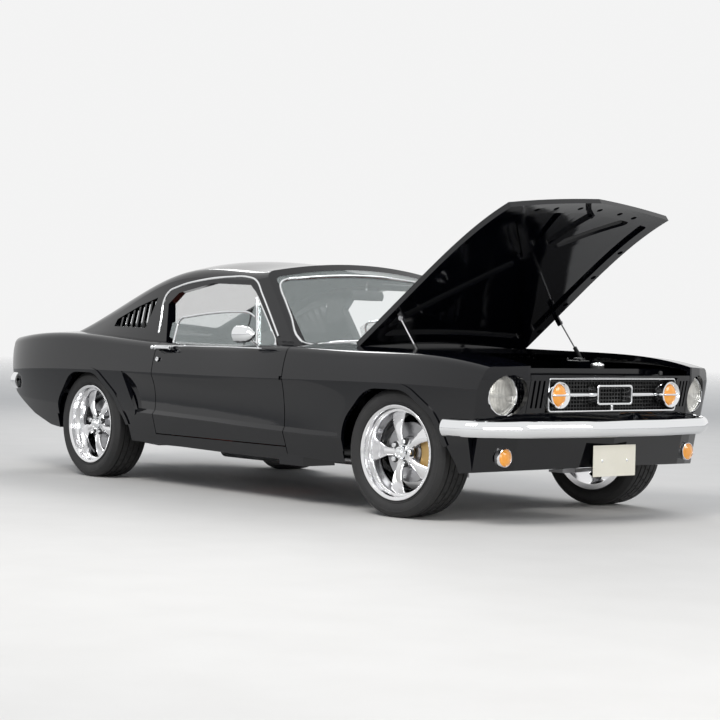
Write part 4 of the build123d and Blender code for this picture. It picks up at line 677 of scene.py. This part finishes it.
# Grille: a fine crate of bars, a thin chrome frame, a blank corral and bars out to the lamps
GRILLE_MIDDLE = Vector((2.13, 0, 0.622))
GRILLE_WIDE = 0.92
GRILLE_TALL = 0.164
GRILLE_CORNER = 0.02
BAR_WIDE = 0.0026
BAR_DEEP = 0.012
FRAME_AHEAD = Vector((0.046, 0, 0))
CORRAL_AHEAD = Vector((0.012, 0, 0))

chosen()
bpy.ops.mesh.primitive_grid_add(
    x_subdivisions=9, y_subdivisions=44, size=1, location=GRILLE_MIDDLE, rotation=(0, pi / 2, 0)
)
crate = sized("grille_crate", (1, GRILLE_WIDE, GRILLE_TALL))
edit(crate, "FACE")
inset(BAR_WIDE, use_individual=True)
bpy.ops.mesh.delete(type="FACE")
all_of_it()
extruded((BAR_DEEP, 0, 0))
leave()
done(tidied(crate), "dark_metal", smooth=30, stands_for=["grille"])
opening = (GRILLE_WIDE, GRILLE_TALL)
surround = upright_frame(
    "grille_frame", GRILLE_MIDDLE + FRAME_AHEAD, *opening, band=0.008, depth=0.02, corner=GRILLE_CORNER
)
done(surround, "chrome")
well = upright_frame(
    "grille_well", GRILLE_MIDDLE, *opening, band=0.003, depth=0.05, corner=GRILLE_CORNER, edge=0.0004
)
done(well, "dark_metal")
corral = upright_frame(
    "grille_corral", GRILLE_MIDDLE + CORRAL_AHEAD, 0.256, 0.1,
    band=0.012, depth=0.062, corner=0.02, edge=0.0045,
)
done(corral, "chrome")
ARM_INNER, ARM_OUTER = 0.12, FOG.y - 0.06
FOOT_BAR = ((2.166, -0.008, 0.544), (2.186, 0.008, 0.58))
STAYS_Y = (-0.2, 0.2)
arms = []
for side in (1, -1):
    low_y, high_y = sorted((side * ARM_INNER, side * ARM_OUTER))
    arms.append(slab("arm", (2.166, low_y, 0.6125), (2.188, high_y, 0.6315), 0.006, 3))
arms.append(slab("arm", *FOOT_BAR, 0.004, 3))
arms += [slab("arm", (2.14, y - 0.006, 0.616), (2.168, y + 0.006, 0.628)) for y in STAYS_Y]
done(joined("grille_arms", arms), "chrome")


# Number plate, blank, on the pad below the bumper
SCREW_HEAD = [(0, 0.0075), (0.0018, 0.0072), (0.003, 0.005), (0.0034, 0)]
PLATE = ((2.2063, -0.1525, 0.226), (2.2083, 0.1525, 0.378))
SCREW = (2.2086, 0.089, 0.302)
plate = slab("plate", *PLATE, 0.0006, 1)
pick(plate, lambda middle, normal: normal.x > 0.9)
inset(0.006, (0.0012, 0, 0))
inset(0.002, (-0.0008, 0, 0))
leave()
done(plate, "lamp_glass", finish=plate_enamel, smooth=20)
pair(turned("screw", SCREW_HEAD, SCREW, FORWARD, 20), "plate_screw", "chrome")


# Bright trim round the windows
SCREEN_ARC_R = 2.15
SCREEN_FOOT = (0.735, 0.848)
SCREEN_LEAN = 1.1322


def on_screen(y, z, proud=0.0):
    """A point of the windshield's face, an arc in plan that leans back."""
    bow = SCREEN_ARC_R - (SCREEN_ARC_R**2 - y * y) ** 0.5
    return Vector((SCREEN_FOOT[0] + proud - bow - (z - SCREEN_FOOT[1]) * SCREEN_LEAN, y, z))


SCREEN_EDGE = [
    (0, 0.862), (0.25, 0.857), (0.5, 0.845), (0.68, 0.834), (0.702, 0.852), (0.665, 0.98), (0.64, 1.06),
    (0.62, 1.125), (0.6, 1.155), (0.561, 1.176), (0.45, 1.19), (0.25, 1.207), (0, 1.215),
]
screen_line = round_car(SCREEN_EDGE, lambda point: (-point[0], point[1]))
edge_round = [on_screen(y, z, 0.004) for y, z in screen_line]
done(bar("screen_trim", edge_round, 0.0062, closed=True), "chrome")

DRIP = [
    (-0.658, 0.87), (-0.672, 0.95), (-0.695, 1.06), (-0.672, 1.108), (-0.59, 1.139), (-0.34, 1.178),
    (-0.09, 1.193), (0.075, 1.189), (0.165, 1.165), (0.235, 1.1), (0.345, 0.995), (0.475, 0.868),
]
pair(bar("drip", beside(SHELL, DRIP, 0.001), 0.0065), "drip_rail", "chrome")

REAR_EDGE = [
    (-1.002, 0), (-1.002, 0.25), (-1.003, 0.455), (-1.03, 0.478), (-1.3, 0.462), (-1.66, 0.44),
    (-1.695, 0.42), (-1.698, 0.2), (-1.698, 0),
]
rear_line = round_car(REAR_EDGE, lambda point: (point[0], -point[1]))
done(bar("rear_window_trim", above(SHELL, rear_line, 0.003), 0.006, closed=True), "chrome")


# Bright trim, handles and glass edges on the doors
PANE_Y = 0.742
PANE_Z = 0.806
PANE_LEAN = 0.2868


def on_door_glass(x, z, proud=0.0):
    """A point on the leaning pane of the left door."""
    return Vector((x, PANE_Y + proud - (z - PANE_Z) * PANE_LEAN, z))


GLASS_EDGE = [
    (-0.5, 0.815), (-0.501, 0.89), (-0.498, 0.935), (-0.47, 0.96), (-0.423, 0.966), (-0.191, 0.989),
    (0.04, 0.998), (0.15, 0.993), (0.215, 0.97),
]
VENT_EDGE = [(0.3, 0.812), (0.25, 0.938), (0.19, 1.076), (0.2, 1.08), (0.45, 0.852), (0.455, 0.815)]
top_edge = bar("edge", [on_door_glass(x, z) for x, z in GLASS_EDGE], 0.0068)
vent = bar("vent", [on_door_glass(x, z, 0.003) for x, z in VENT_EDGE], 0.0085, smooth=False)
pair(joined("window_frame", [top_edge, vent]), "window_frame", "chrome", DOORS)

BELT = [(-0.5, 0.798), (-0.3, 0.801), (-0.1, 0.803), (0.1, 0.804), (0.3, 0.804), (0.455, 0.803)]
pair(bar("belt", beside(["door_left"], BELT, 0.0), 0.0045), "belt_trim", "chrome", DOORS)

PULL_RINGS = [
    ((-0.522, 0.868, 0.79), (1, 0.004, 0.006)), ((-0.516, 0.869, 0.79), (1, 0.0065, 0.008)),
    ((-0.49, 0.873, 0.79), (1, 0.0068, 0.0085)), ((-0.44, 0.876, 0.79), (1, 0.0065, 0.008)),
    ((-0.39, 0.873, 0.79), (1, 0.0062, 0.0075)), ((-0.352, 0.866, 0.79), (1, 0.0065, 0.008)),
    ((-0.343, 0.864, 0.79), (1, 0.004, 0.006)),
]
FRONT_FOOT = ((-0.368, 0.846, 0.779), (-0.345, 0.868, 0.801))
REAR_FOOT = ((-0.52, 0.846, 0.777), (-0.486, 0.872, 0.803))
BUTTON = [(0, 0.012), (0.012, 0.0118), (0.015, 0.0095), (0.0158, 0)]
LOCK = [(0, 0.0135), (0.004, 0.013), (0.0062, 0.0105), (0.0052, 0.0085), (0.0052, 0)]
handle = [
    ringed("pull", "X", PULL_RINGS),
    slab("foot", *FRONT_FOOT, 0.004, 3),
    slab("foot", *REAR_FOOT, 0.005, 3),
    turned("button", BUTTON, (-0.503, 0.872, 0.79), LEFTWARD, 24),
    turned("lock", LOCK, (-0.485, 0.8575, 0.723), LEFTWARD, 28),
]
pair(joined("handle", handle), "door_handle", "chrome", DOORS)

MIRROR_FACE = [
    (0.003, 0), (0.003, 0.0448), (0.0012, 0.0445), (0.0005, 0.0425), (-0.0015, 0.041), (-0.0015, 0),
]
face = turned("glass", MIRROR_FACE, (0.3445, 0.905, 0.876), REARWARD, 40)
pair(face, "mirror_glass", "chrome", DOORS, looking_glass)


# Tail lamps, a blank fuel cap and exhaust tips
TAIL_X = -2.259
TAIL_Z = 0.68
TAIL_LENSES_Y = (0.6, 0.642, 0.684)
LENS_LOW = Vector((-0.004, -0.0128, -0.0545))
LENS_HIGH = Vector((0.01, 0.0128, 0.0545))
for i, y in enumerate(TAIL_LENSES_Y):
    middle = Vector((TAIL_X, y, TAIL_Z))
    bezel = upright_frame(
        f"tail_bezel_{i}", middle - Vector((0.008, 0, 0)), 0.034, 0.118,
        band=0.0045, depth=0.014, corner=0.006,
    )
    lens = slab("lens", middle + LENS_LOW, middle + LENS_HIGH, 0.004, 3)
    pair(bezel, f"tail_bezel_{i}", "chrome")
    pair(lens, f"tail_lens_{i}", "red_lens")
FUEL_CAP = [
    (-0.004, 0), (-0.004, 0.058), (0.004, 0.0575), (0.0075, 0.0545), (0.0075, 0.049), (0.0045, 0.046),
    (0.0045, 0.04), (0.011, 0.034), (0.0125, 0.02), (0.013, 0),
]
cap_seat = against(SHELL + ("trunk_lid",), (BEHIND_CAR, 0, TAIL_Z), FORWARD)
done(turned("fuel_cap", FUEL_CAP, cap_seat, REARWARD, 56), "chrome")
TIP = [(0, 0.0272), (0.14, 0.0272), (0.146, 0.0285), (0.146, 0.031), (0.14, 0.0325), (0, 0.0315)]
pair(turned("tip", TIP, (-2.06, 0.25, 0.2), REARWARD, 40, closed=True), "exhaust_tip", "chrome")


# Steering wheel: a rim, three flat spokes and a horn pad
WHEEL_MIDDLE = Vector((0.33, 0.365, 0.775))
COLUMN = Vector((0.949, 0, -0.316)).normalized()
GRIP_R = 0.0105
GRIP_CIRCLE = 0.185
HORN_PAD = [(0.012, 0), (0.012, 0.046), (-0.004, 0.048), (-0.013, 0.043), (-0.018, 0.026), (-0.0195, 0)]
SPOKE_LOW = Vector((-0.002, 0.038, -0.014))
SPOKE_HIGH = Vector((0.001, 0.179, 0.014))

ring = [(GRIP_R * sin(i * pi / 6), GRIP_CIRCLE + GRIP_R * cos(i * pi / 6)) for i in range(12)]
grip = turned("steering_rim", ring, WHEEL_MIDDLE, COLUMN, 72, closed=True)
pad = turned("horn_pad", HORN_PAD, WHEEL_MIDDLE, COLUMN, 40)
spoke = slab("spoke", WHEEL_MIDDLE + SPOKE_LOW, WHEEL_MIDDLE + SPOKE_HIGH, 0.0012)
tilt = Matrix.Rotation(math.atan2(0.316, 0.949), 4, "Y")
there = Matrix.Translation(WHEEL_MIDDLE)
spokes = around(moved(spoke, there @ tilt @ there.inverted()), 3, WHEEL_MIDDLE, COLUMN)
done(grip, "black_plastic", "steering_wheel", stands_for=["steering_wheel"])
done(pad, "black_plastic", "steering_wheel")
done(spokes, "steel", "steering_wheel")


# Dashboard: dials, two bright strips, glove box and radio
DASH = ["dashboard"]
SIGHT_X = 0.2
DIAL_RING = [(0.002, 0.04), (0, 0.044), (-0.006, 0.0445), (-0.009, 0.0425), (-0.008, 0.0405), (0, 0.0395)]
DIAL_FACE = [(0, 0), (0, 0.0405), (0.006, 0.0405)]
DIAL_AXIS = (1, 0, -0.15)
DIALS_Y = (0.225, 0.315, 0.415, 0.505)
DIAL_Z = 0.72
STRIP_Y = (-0.66, -0.3, 0, 0.3, 0.66)
STRIP_Z = {"upper": 0.77, "lower": 0.655}
GLOVE_BOX = ((0.571, -0.56, 0.672), (0.6, -0.16, 0.745))
RADIO = ((0.569, -0.085, 0.685), (0.6, 0.085, 0.742))
RADIO_KNOB = [(0, 0.012), (-0.014, 0.0115), (-0.017, 0.009), (-0.0175, 0)]
dials, faces = [], []
for y in DIALS_Y:
    seat = against(DASH, (SIGHT_X, y, DIAL_Z), FORWARD) + Vector((-0.004, 0, 0))
    dials.append(turned("dial", DIAL_RING, seat, DIAL_AXIS, 36, closed=True))
    faces.append(turned("dial_face", DIAL_FACE, seat, DIAL_AXIS, 36))
done(joined("dial_rings", dials), "chrome")
done(joined("dial_faces", faces), "black_plastic")
for name, z in STRIP_Z.items():
    hits = [against(DASH, (SIGHT_X, y, z), FORWARD) for y in STRIP_Y]
    line = [hit + Vector((-0.001, 0, 0)) for hit in hits]
    done(bar(f"dash_trim_{name}", line, 0.0035), "chrome")
done(slab("glove_box", *GLOVE_BOX, 0.006, 3), "dash")
radio = slab("radio", *RADIO, 0.005, 3)
knobs = [turned("knob", RADIO_KNOB, (0.57, y, 0.713), FORWARD, 24) for y in (-0.062, 0.062)]
done(radio, "dark_metal")
done(joined("radio_knobs", knobs), "chrome")


# Door panels: a padded panel with an armrest, a pull, a window crank and its knob
PANEL = ((-0.46, 0.7115, 0.4), (0.44, 0.7185, 0.775))
ARMREST = ((-0.3, 0.662, 0.498), (0.1, 0.7125, 0.54))
CRANK_KNOB = [(0, 0.011), (-0.02, 0.012), (-0.024, 0.009), (-0.025, 0)]
CRANK_BOSS = [(0, 0.02), (-0.008, 0.019), (-0.01, 0)]
CRANK_LINE = [(0.21, 0.706, 0.56), (0.21, 0.694, 0.56), (0.155, 0.69, 0.535)]
PULL_LINE = [(0.29, 0.709, 0.655), (0.28, 0.697, 0.655), (0.2, 0.697, 0.655), (0.19, 0.709, 0.655)]
panel = slab("panel", *PANEL, 0.0035, 3)
pick(panel, lambda middle, normal: normal.y < -0.9)
inset(0.03)
inset(0.004, (0, 0.0025, 0))
inset(0.006, (0, -0.0035, 0))
leave()
armrest = slab("arm", *ARMREST, 0.014, 4)
trims = [
    bar("crank", CRANK_LINE, 0.006),
    turned("crank_knob", CRANK_KNOB, CRANK_LINE[-1], LEFTWARD, 20),
    turned("crank_boss", CRANK_BOSS, (0.21, 0.7115, 0.56), LEFTWARD, 24),
    bar("pull", PULL_LINE, 0.006),
]
pair(joined("panel", [panel, armrest]), "door_panel", "leather", DOORS)
pair(joined("crank", trims), "window_crank", "chrome", DOORS)


# Shift lever with its knob and boot
LEVER_LINE = [(0.32, 0, 0.4), (0.31, 0, 0.47), (0.3, 0, 0.54)]
LEVER_AXIS = (-0.1, 0, 1)
SHIFT_KNOB = [(-0.02, 0.008), (-0.012, 0.017), (0.004, 0.021), (0.018, 0.015), (0.023, 0)]
BOOT = [(0, 0.062), (0.006, 0.06), (0.02, 0.036), (0.03, 0.032), (0.045, 0.018), (0.06, 0.009), (0.062, 0)]
lever = bar("lever", LEVER_LINE, 0.006)
knob = turned("knob", SHIFT_KNOB, (0.298, 0, 0.55), LEVER_AXIS, 28)
boot = turned("boot", BOOT, (0.322, 0, 0.385), LEVER_AXIS, 32)
done(lever, "chrome")
done(joined("shift_knob", [knob, boot]), "black_plastic")


# Seats: crowned cushions blown up from a smaller shape, with sewn channels
FRONT_SEAT_Y = {"left": 0.372, "right": -0.372}
FRONT_HALF = 0.214
FRONT_VOXEL = 0.008
RUNNER_OUT = 0.17
BENCH_HALF = 0.535
BENCH_VOXEL = 0.01
FRONT_CHANNELS = (-0.13, -0.065, 0, 0.065, 0.13)
BENCH_CHANNELS = (-0.42, -0.3, -0.18, 0, 0.18, 0.3, 0.42)
CHANNEL_HALF = 0.0035
CHANNEL_DEPTH = 0.007
CHANNEL_REACH = 0.022
PRESSURE = 4
BLOW_FRAMES = 20
SEAT_BASE = [
    (-0.19, 0.262), (0.312, 0.262), (0.334, 0.3), (0.328, 0.372), (0.29, 0.402), (0.05, 0.388),
    (-0.13, 0.368),
]
SEAT_BACK = [(-0.236, 0.4), (-0.15, 0.39), (-0.12, 0.42), (-0.292, 0.775), (-0.322, 0.803), (-0.35, 0.79)]
BENCH_BASE = [(-1.05, 0.36), (-0.72, 0.38), (-0.662, 0.36), (-0.648, 0.32), (-0.66, 0.285), (-1.05, 0.285)]
BENCH_BACK = [(-1.09, 0.42), (-0.965, 0.42), (-1.028, 0.69), (-1.05, 0.722), (-1.085, 0.725)]


def blown(piece, swell):
    """Blow a piece up as cloth under pressure, no point further than the swell."""
    before = [vertex.co.copy() for vertex in piece.data.vertices]
    cloth = piece.modifiers.new("blown", "CLOTH")
    cloth.settings.use_pressure = True
    cloth.settings.uniform_pressure_force = PRESSURE
    cloth.settings.effector_weights.gravity = 0
    for step in range(1, BLOW_FRAMES + 1):
        bpy.context.scene.frame_set(step)
    chosen(piece)
    bpy.ops.object.modifier_apply(modifier="blown")
    bpy.context.scene.frame_set(1)
    for vertex, start in zip(piece.data.vertices, before):
        move = vertex.co - start
        if move.length > swell:
            vertex.co = start + move * (swell / move.length)


def cushion(name, side_line, half_width, swell, voxel):
    """A padded form from its side outline, X and Z, about the middle of the car."""
    piece = drawn(name, [(x, -half_width, z) for x, z in side_line], closed=True)
    all_of_it()
    bpy.ops.mesh.edge_face_add()
    all_of_it()
    extruded((0, 2 * half_width, 0))
    leave()
    tidied(piece)
    sharp_edges_rounded(piece, 25, 0.014, 3)
    remesh = piece.modifiers.new("even", "REMESH")
    remesh.mode = "VOXEL"
    remesh.voxel_size = voxel
    bpy.ops.object.modifier_apply(modifier="even")
    blown(piece, swell)
    return piece


def sewn(piece, lines, facing):
    """Press a channel into a cushion along each line at one Y."""
    for line in lines:
        for item in list(piece.data.edges) + list(piece.data.polygons):
            item.select = False
        for vertex in piece.data.vertices:
            vertex.select = abs(vertex.co.y - line) < CHANNEL_HALF and facing(vertex.normal)
        chosen(piece)
        bpy.ops.object.mode_set(mode="EDIT")
        bpy.ops.mesh.select_mode(type="VERT")
        bpy.ops.transform.shrink_fatten(
            value=-CHANNEL_DEPTH, use_proportional_edit=True,
            proportional_edit_falloff="SHARP", proportional_size=CHANNEL_REACH,
        )
        leave()


def top_or_front(normal):
    return normal.z > 0.3 or normal.x > 0.3


def front(normal):
    return normal.x > 0.3


def carried(piece, name, y):
    """A copy moved across the car."""
    copy = copied(piece, name)
    edit(copy)
    bpy.ops.transform.translate(value=(0, y, 0))
    leave()
    return copy


base = cushion("seat_base", SEAT_BASE, FRONT_HALF, 0.024, FRONT_VOXEL)
back = cushion("seat_back", SEAT_BACK, FRONT_HALF, 0.022, FRONT_VOXEL)
sewn(base, FRONT_CHANNELS, top_or_front)
sewn(back, FRONT_CHANNELS, front)
bench = cushion("bench_base", BENCH_BASE, BENCH_HALF, 0.022, BENCH_VOXEL)
bench_back = cushion("bench_back", BENCH_BACK, BENCH_HALF, 0.02, BENCH_VOXEL)
sewn(bench, BENCH_CHANNELS, top_or_front)
sewn(bench_back, BENCH_CHANNELS, front)
bases = {side: carried(base, f"seat_base_{side}", y) for side, y in FRONT_SEAT_Y.items()}
backs = {side: carried(back, f"seat_back_{side}", y) for side, y in FRONT_SEAT_Y.items()}
for side in FRONT_SEAT_Y:
    done(bases[side], "leather", smooth=60, stands_for=[f"seat_{side}"])
    done(backs[side], "leather", smooth=60)
done(bench, "leather", smooth=60, stands_for=["rear_seat"])
done(bench_back, "leather", smooth=60)
for piece in (base, back):
    bpy.data.objects.remove(piece)
for side, seat_y in FRONT_SEAT_Y.items():
    rails = []
    for y in (seat_y - RUNNER_OUT, seat_y + RUNNER_OUT):
        rails.append(slab("runner", (-0.17, y - 0.012, 0.2305), (0.29, y + 0.012, 0.266), 0.003))
    done(joined(f"seat_runners_{side}", rails), "dark_metal")


# Valve covers: cast covers with fins along the top, a lip with bolts and a filler cap
BOLT = [(-0.032, 0.006), (-0.025, 0.006), (-0.0235, 0.0045), (-0.023, 0)]
FILLER = [(0.035, 0.024), (0.05, 0.024), (0.052, 0.03), (0.064, 0.03), (0.068, 0.026), (0.0685, 0)]
LEFT_HEAD = Matrix.Translation((0, 0.262, 0.618)) @ Matrix.Rotation(-pi / 4, 4, "X")
FIN_PITCH = 0.012
COVER = ((0.995, -0.06, -0.036), (1.525, 0.06, 0.037))
LIP = ((0.985, -0.07, -0.04), (1.535, 0.07, -0.0315))
BOLTS_X = (1.02, 1.2, 1.32, 1.5)
BOLTS_Y = (-0.0645, 0.0645)
cover = [slab("cover", *COVER, 0.012, 4)]
for i in range(-3, 4):
    y = i * FIN_PITCH
    cover.append(slab("fin", (1.03, y - 0.003, 0.034), (1.49, y + 0.003, 0.0445), 0.0015))
cover.append(slab("lip", *LIP))
for x in BOLTS_X:
    cover += [turned("bolt", BOLT, (x, y, 0), UPWARD, 12) for y in BOLTS_Y]
cover.append(turned("filler", FILLER, (1.44, 0, 0), UPWARD, 32))
pair(moved(joined("cover", cover), LEFT_HEAD), "valve_cover", "aluminium")


# Air cleaner and its wing nut
CLEANER = [
    (-0.0335, 0), (-0.0335, 0.15), (-0.03, 0.176), (-0.012, 0.178), (-0.01, 0.172), (0.014, 0.172),
    (0.016, 0.185), (0.024, 0.186), (0.03, 0.179), (0.0315, 0.15), (0.028, 0.13), (0.028, 0.05),
    (0.0315, 0.044), (0.0315, 0),
]
WING = ((1.2475, -0.02, 0.775), (1.2525, 0.02, 0.789))
STUD = [(0, 0.009), (0.004, 0.009), (0.01, 0.006), (0.0145, 0.0055), (0.015, 0)]
cleaner = turned("cleaner", CLEANER, (1.25, 0, 0.742), UPWARD, 80)
done(cleaner, "chrome", smooth=30, stands_for=["air_cleaner"])
wing = [
    turned("stud", STUD, (1.25, 0, 0.7733), UPWARD, 20),
    slab("wing", *WING),
]
done(joined("wing_nut", wing), "steel")


# Radiator with its cap, moulded hoses and clamps
CORE = ((1.947, -0.283, 0.36), (1.9505, 0.283, 0.7))
RADIATOR_FINS = 18
RADIATOR_PITCH = 0.018
RADIATOR_CAP = [
    (-0.004, 0), (-0.004, 0.034), (0.002, 0.034), (0.006, 0.0315), (0.009, 0.02), (0.012, 0.019),
    (0.0125, 0),
]
UPPER_HOSE = [
    (1.948, -0.16, 0.69), (1.88, -0.15, 0.7), (1.78, -0.09, 0.7), (1.66, -0.05, 0.66),
    (1.56, -0.04, 0.625),
]
LOWER_HOSE = [
    (1.948, 0.2, 0.4), (1.87, 0.2, 0.42), (1.74, 0.17, 0.44), (1.62, 0.11, 0.46), (1.56, 0.08, 0.47),
]
CLAMP = [(-0.006, 0.0205), (-0.006, 0.0228), (0.006, 0.0228), (0.006, 0.0205)]
CLAMPED = [((1.935, -0.1585, 0.6925), (-1, 0.12, 0.14)), ((1.93, 0.2, 0.405), (-1, 0, 0.25))]
core = [slab("core", *CORE, 0.001)]
for i in range(RADIATOR_FINS):
    z = 0.37 + i * RADIATOR_PITCH
    core.append(slab("fin", (1.9445, -0.28, z), (1.9475, 0.28, z + 0.0045), 0.0008, 1))
done(joined("radiator_core", core), "black_steel")
done(turned("radiator_cap", RADIATOR_CAP, (1.972, 0.12, 0.7615), UPWARD, 36), "chrome")
hoses = [bar("hose", line, 0.021, sides=4) for line in (UPPER_HOSE, LOWER_HOSE)]
done(joined("moulded_hoses", hoses), "black_steel")
clamps = [turned("clamp", CLAMP, place, axis, 28, closed=True) for place, axis in CLAMPED]
done(joined("hose_clamps", clamps), "steel")


# Battery: lid with vent caps, posts and a strap
BATTERY_TOP_Z = 0.5875
LID = ((1.757, -0.431, 0.567), (1.943, -0.297, 0.588))
STRAP = ((1.842, -0.433, 0.5865), (1.858, -0.295, 0.5895))
VENT_CAP = [(0, 0.0105), (0.006, 0.0105), (0.0085, 0.008), (0.009, 0)]
POST = [(0, 0.009), (0.016, 0.008), (0.017, 0)]
lid = [slab("top", *LID, 0.004, 3)]
for x in (1.8, 1.85, 1.9):
    lid += [turned("vent", VENT_CAP, (x, y, BATTERY_TOP_Z), UPWARD, 20) for y in (-0.34, -0.39)]
done(joined("battery_top", lid), "black_plastic")
posts = [turned("post", POST, (x, -0.32, BATTERY_TOP_Z), UPWARD, 20) for x in (1.775, 1.925)]
posts.append(slab("strap", *STRAP, 0.0008))
done(joined("battery_posts", posts), "steel")


# Spring towers' caps with their nuts
TOWER_CAP = [
    (0, 0.06), (0.004, 0.06), (0.006, 0.056), (0.006, 0.03), (0.018, 0.026), (0.02, 0.018), (0.02, 0),
]
TOWER_NUT = [(0, 0.0075), (0.007, 0.0075), (0.009, 0.005), (0.012, 0.0045), (0.0125, 0)]
tower = [turned("tower", TOWER_CAP, (1.495, 0.495, 0.7702), UPWARD, 40)]
for x, y in ((1.45, 0.46), (1.54, 0.46), (1.495, 0.54)):
    tower.append(turned("nut", TOWER_NUT, (x, y, 0.775), UPWARD, 6))
pair(joined("tower", tower), "spring_tower_cap", "black_steel")


# Fan and pulley
FAN = (1.726, 0, 0.52)
FAN_BLADES = 6
BLADE_RINGS = [
    ((1.726, 0.04, 0.52), (0.004, 1, 0.022)), ((1.726, 0.09, 0.52), (0.006, 1, 0.03)),
    ((1.726, 0.15, 0.52), (0.005, 1, 0.036)), ((1.726, 0.19, 0.52), (0.003, 1, 0.034)),
]
PULLEY = [
    (1.64, 0.0), (1.64, 0.07), (1.647, 0.072), (1.652, 0.062), (1.657, 0.072), (1.664, 0.07), (1.664, 0),
]
hub = Matrix.Translation(FAN)
pitch = Matrix.Rotation(radians(28), 4, "Y")
blade = moved(ringed("blade", "Y", BLADE_RINGS), hub @ pitch @ hub.inverted())
done(around(blade, FAN_BLADES, FAN, FORWARD), "steel")
done(turned("pulley", PULLEY, (0, 0, 0.46), FORWARD, 44), "black_steel")


# Rubber stops for the shut hood
STOP = [(0, 0.012), (0.014, 0.0115), (0.019, 0.009), (0.02, 0)]
stops = [turned("stop", STOP, (2.06, y, 0.7155), UPWARD, 20) for y in (0.5, -0.5)]
done(joined("hood_stops", stops), "black_steel")


# Wipers: arms on their pivots and blades laid on the glass
WIPER_BOSS = [(-0.004, 0.014), (0.008, 0.0135), (0.013, 0.01), (0.014, 0)]
for i, y in enumerate((0.33, -0.23)):
    pivot = Vector((0.762, y, 0.874))
    tip = on_screen(y + 0.36, 0.905, 0.016)
    arm = bar("arm", [pivot, pivot.lerp(tip, 0.35) + Vector((0.004, 0, 0.012)), tip], 0.0045)
    boss = turned("boss", WIPER_BOSS, pivot, (0.3, 0, 1), 24)
    blade_line = [on_screen(y + along, 0.885 + along * 0.05, 0.009) for along in (0.14, 0.3, 0.46)]
    strip = bar(f"wiper_blade_{i}", blade_line, 0.0048)
    done(joined(f"wiper_arm_{i}", [arm, boss]), "chrome")
    done(strip, "black_steel")


# Mirror inside, on a stem from the windshield
CASE_RINGS = [
    ((0.335, -0.115, 1.105), (0.006, 1, 0.016)), ((0.335, -0.108, 1.105), (0.01, 1, 0.026)),
    ((0.335, 0, 1.107), (0.012, 1, 0.029)), ((0.335, 0.108, 1.105), (0.01, 1, 0.026)),
    ((0.335, 0.115, 1.105), (0.006, 1, 0.016)),
]
foot = on_screen(0, 1.185, -0.02)
done(ringed("rear_view_mirror", "Y", CASE_RINGS, 24), "black_plastic")
done(bar("mirror_stem", [foot, foot + Vector((-0.01, 0, -0.04)), (0.335, 0, 1.12)], 0.005), "chrome")


# Floor: pale, and faded out past the car so that the background takes over with no edge
FLOOR_WHOLE = 6
FLOOR_GONE = 45
chosen()
bpy.ops.mesh.primitive_plane_add(size=100, location=ORIGIN)
floor = bpy.context.object
floor.name = "floor"
pale = Finish("pale_floor", (0.62, 0.6, 0.57), 0.7)
pale.tinted((0.6, 0.58, 0.55), (0.66, 0.64, 0.61), 3)
away = pale.node("ShaderNodeVectorMath", {"operation": "LENGTH"}, {0: pale.place}, "Value")
fade = {"Value": away, "From Min": FLOOR_WHOLE, "From Max": FLOOR_GONE, "To Min": 1, "To Max": 0}
pale.feed("Alpha", pale.node("ShaderNodeMapRange", {}, fade))
floor.data.materials.append(pale.material)


# Background: pale where it is seen, mirrored or seen through glass, and a soft light elsewhere
SKY_LIGHT = (0.42, 0.46, 0.52)
BACKDROP = (0.9, 0.9, 0.9)
world = bpy.data.worlds.new("studio")
bpy.context.scene.world = world
world.use_nodes = True
studio = Nodes(world.node_tree)
seen = studio.node("ShaderNodeLightPath", {}, {}, "Is Camera Ray")
for ray in ("Is Glossy Ray", "Is Transmission Ray"):
    seen = seen.math("MAXIMUM", studio.node("ShaderNodeLightPath", {}, {}, ray))
sky = world.node_tree.nodes["Background"]
world.node_tree.links.new(studio.blend(seen, SKY_LIGHT, BACKDROP).socket, sky.inputs["Color"])
sky.inputs["Strength"].default_value = 1


def soft_box(name, place, target, size, watts):
    """A lamp with a wide face that is turned to its target."""
    data = bpy.data.lights.new(name, "AREA")
    data.shape = "RECTANGLE"
    data.size, data.size_y = size
    data.energy = watts
    lamp = bpy.data.objects.new(name, data)
    lamp.location = place
    lamp.rotation_euler = (Vector(target) - Vector(place)).to_track_quat("-Z", "Y").to_euler()
    bpy.context.scene.collection.objects.link(lamp)


CAR_MIDDLE = (0, 0, 0.6)
CAR_FRONT = (1.7, 0, 1.0)
soft_box("key", (2.5, -5.5, 6.5), CAR_MIDDLE, (4, 3), 420)
soft_box("fill", (9, 3, 5), CAR_MIDDLE, (4, 3), 210)
soft_box("back", (-6, 5, 6), CAR_MIDDLE, (5, 3), 260)
soft_box("front", (8, -3, 1.9), CAR_FRONT, (3, 1.8), 90)
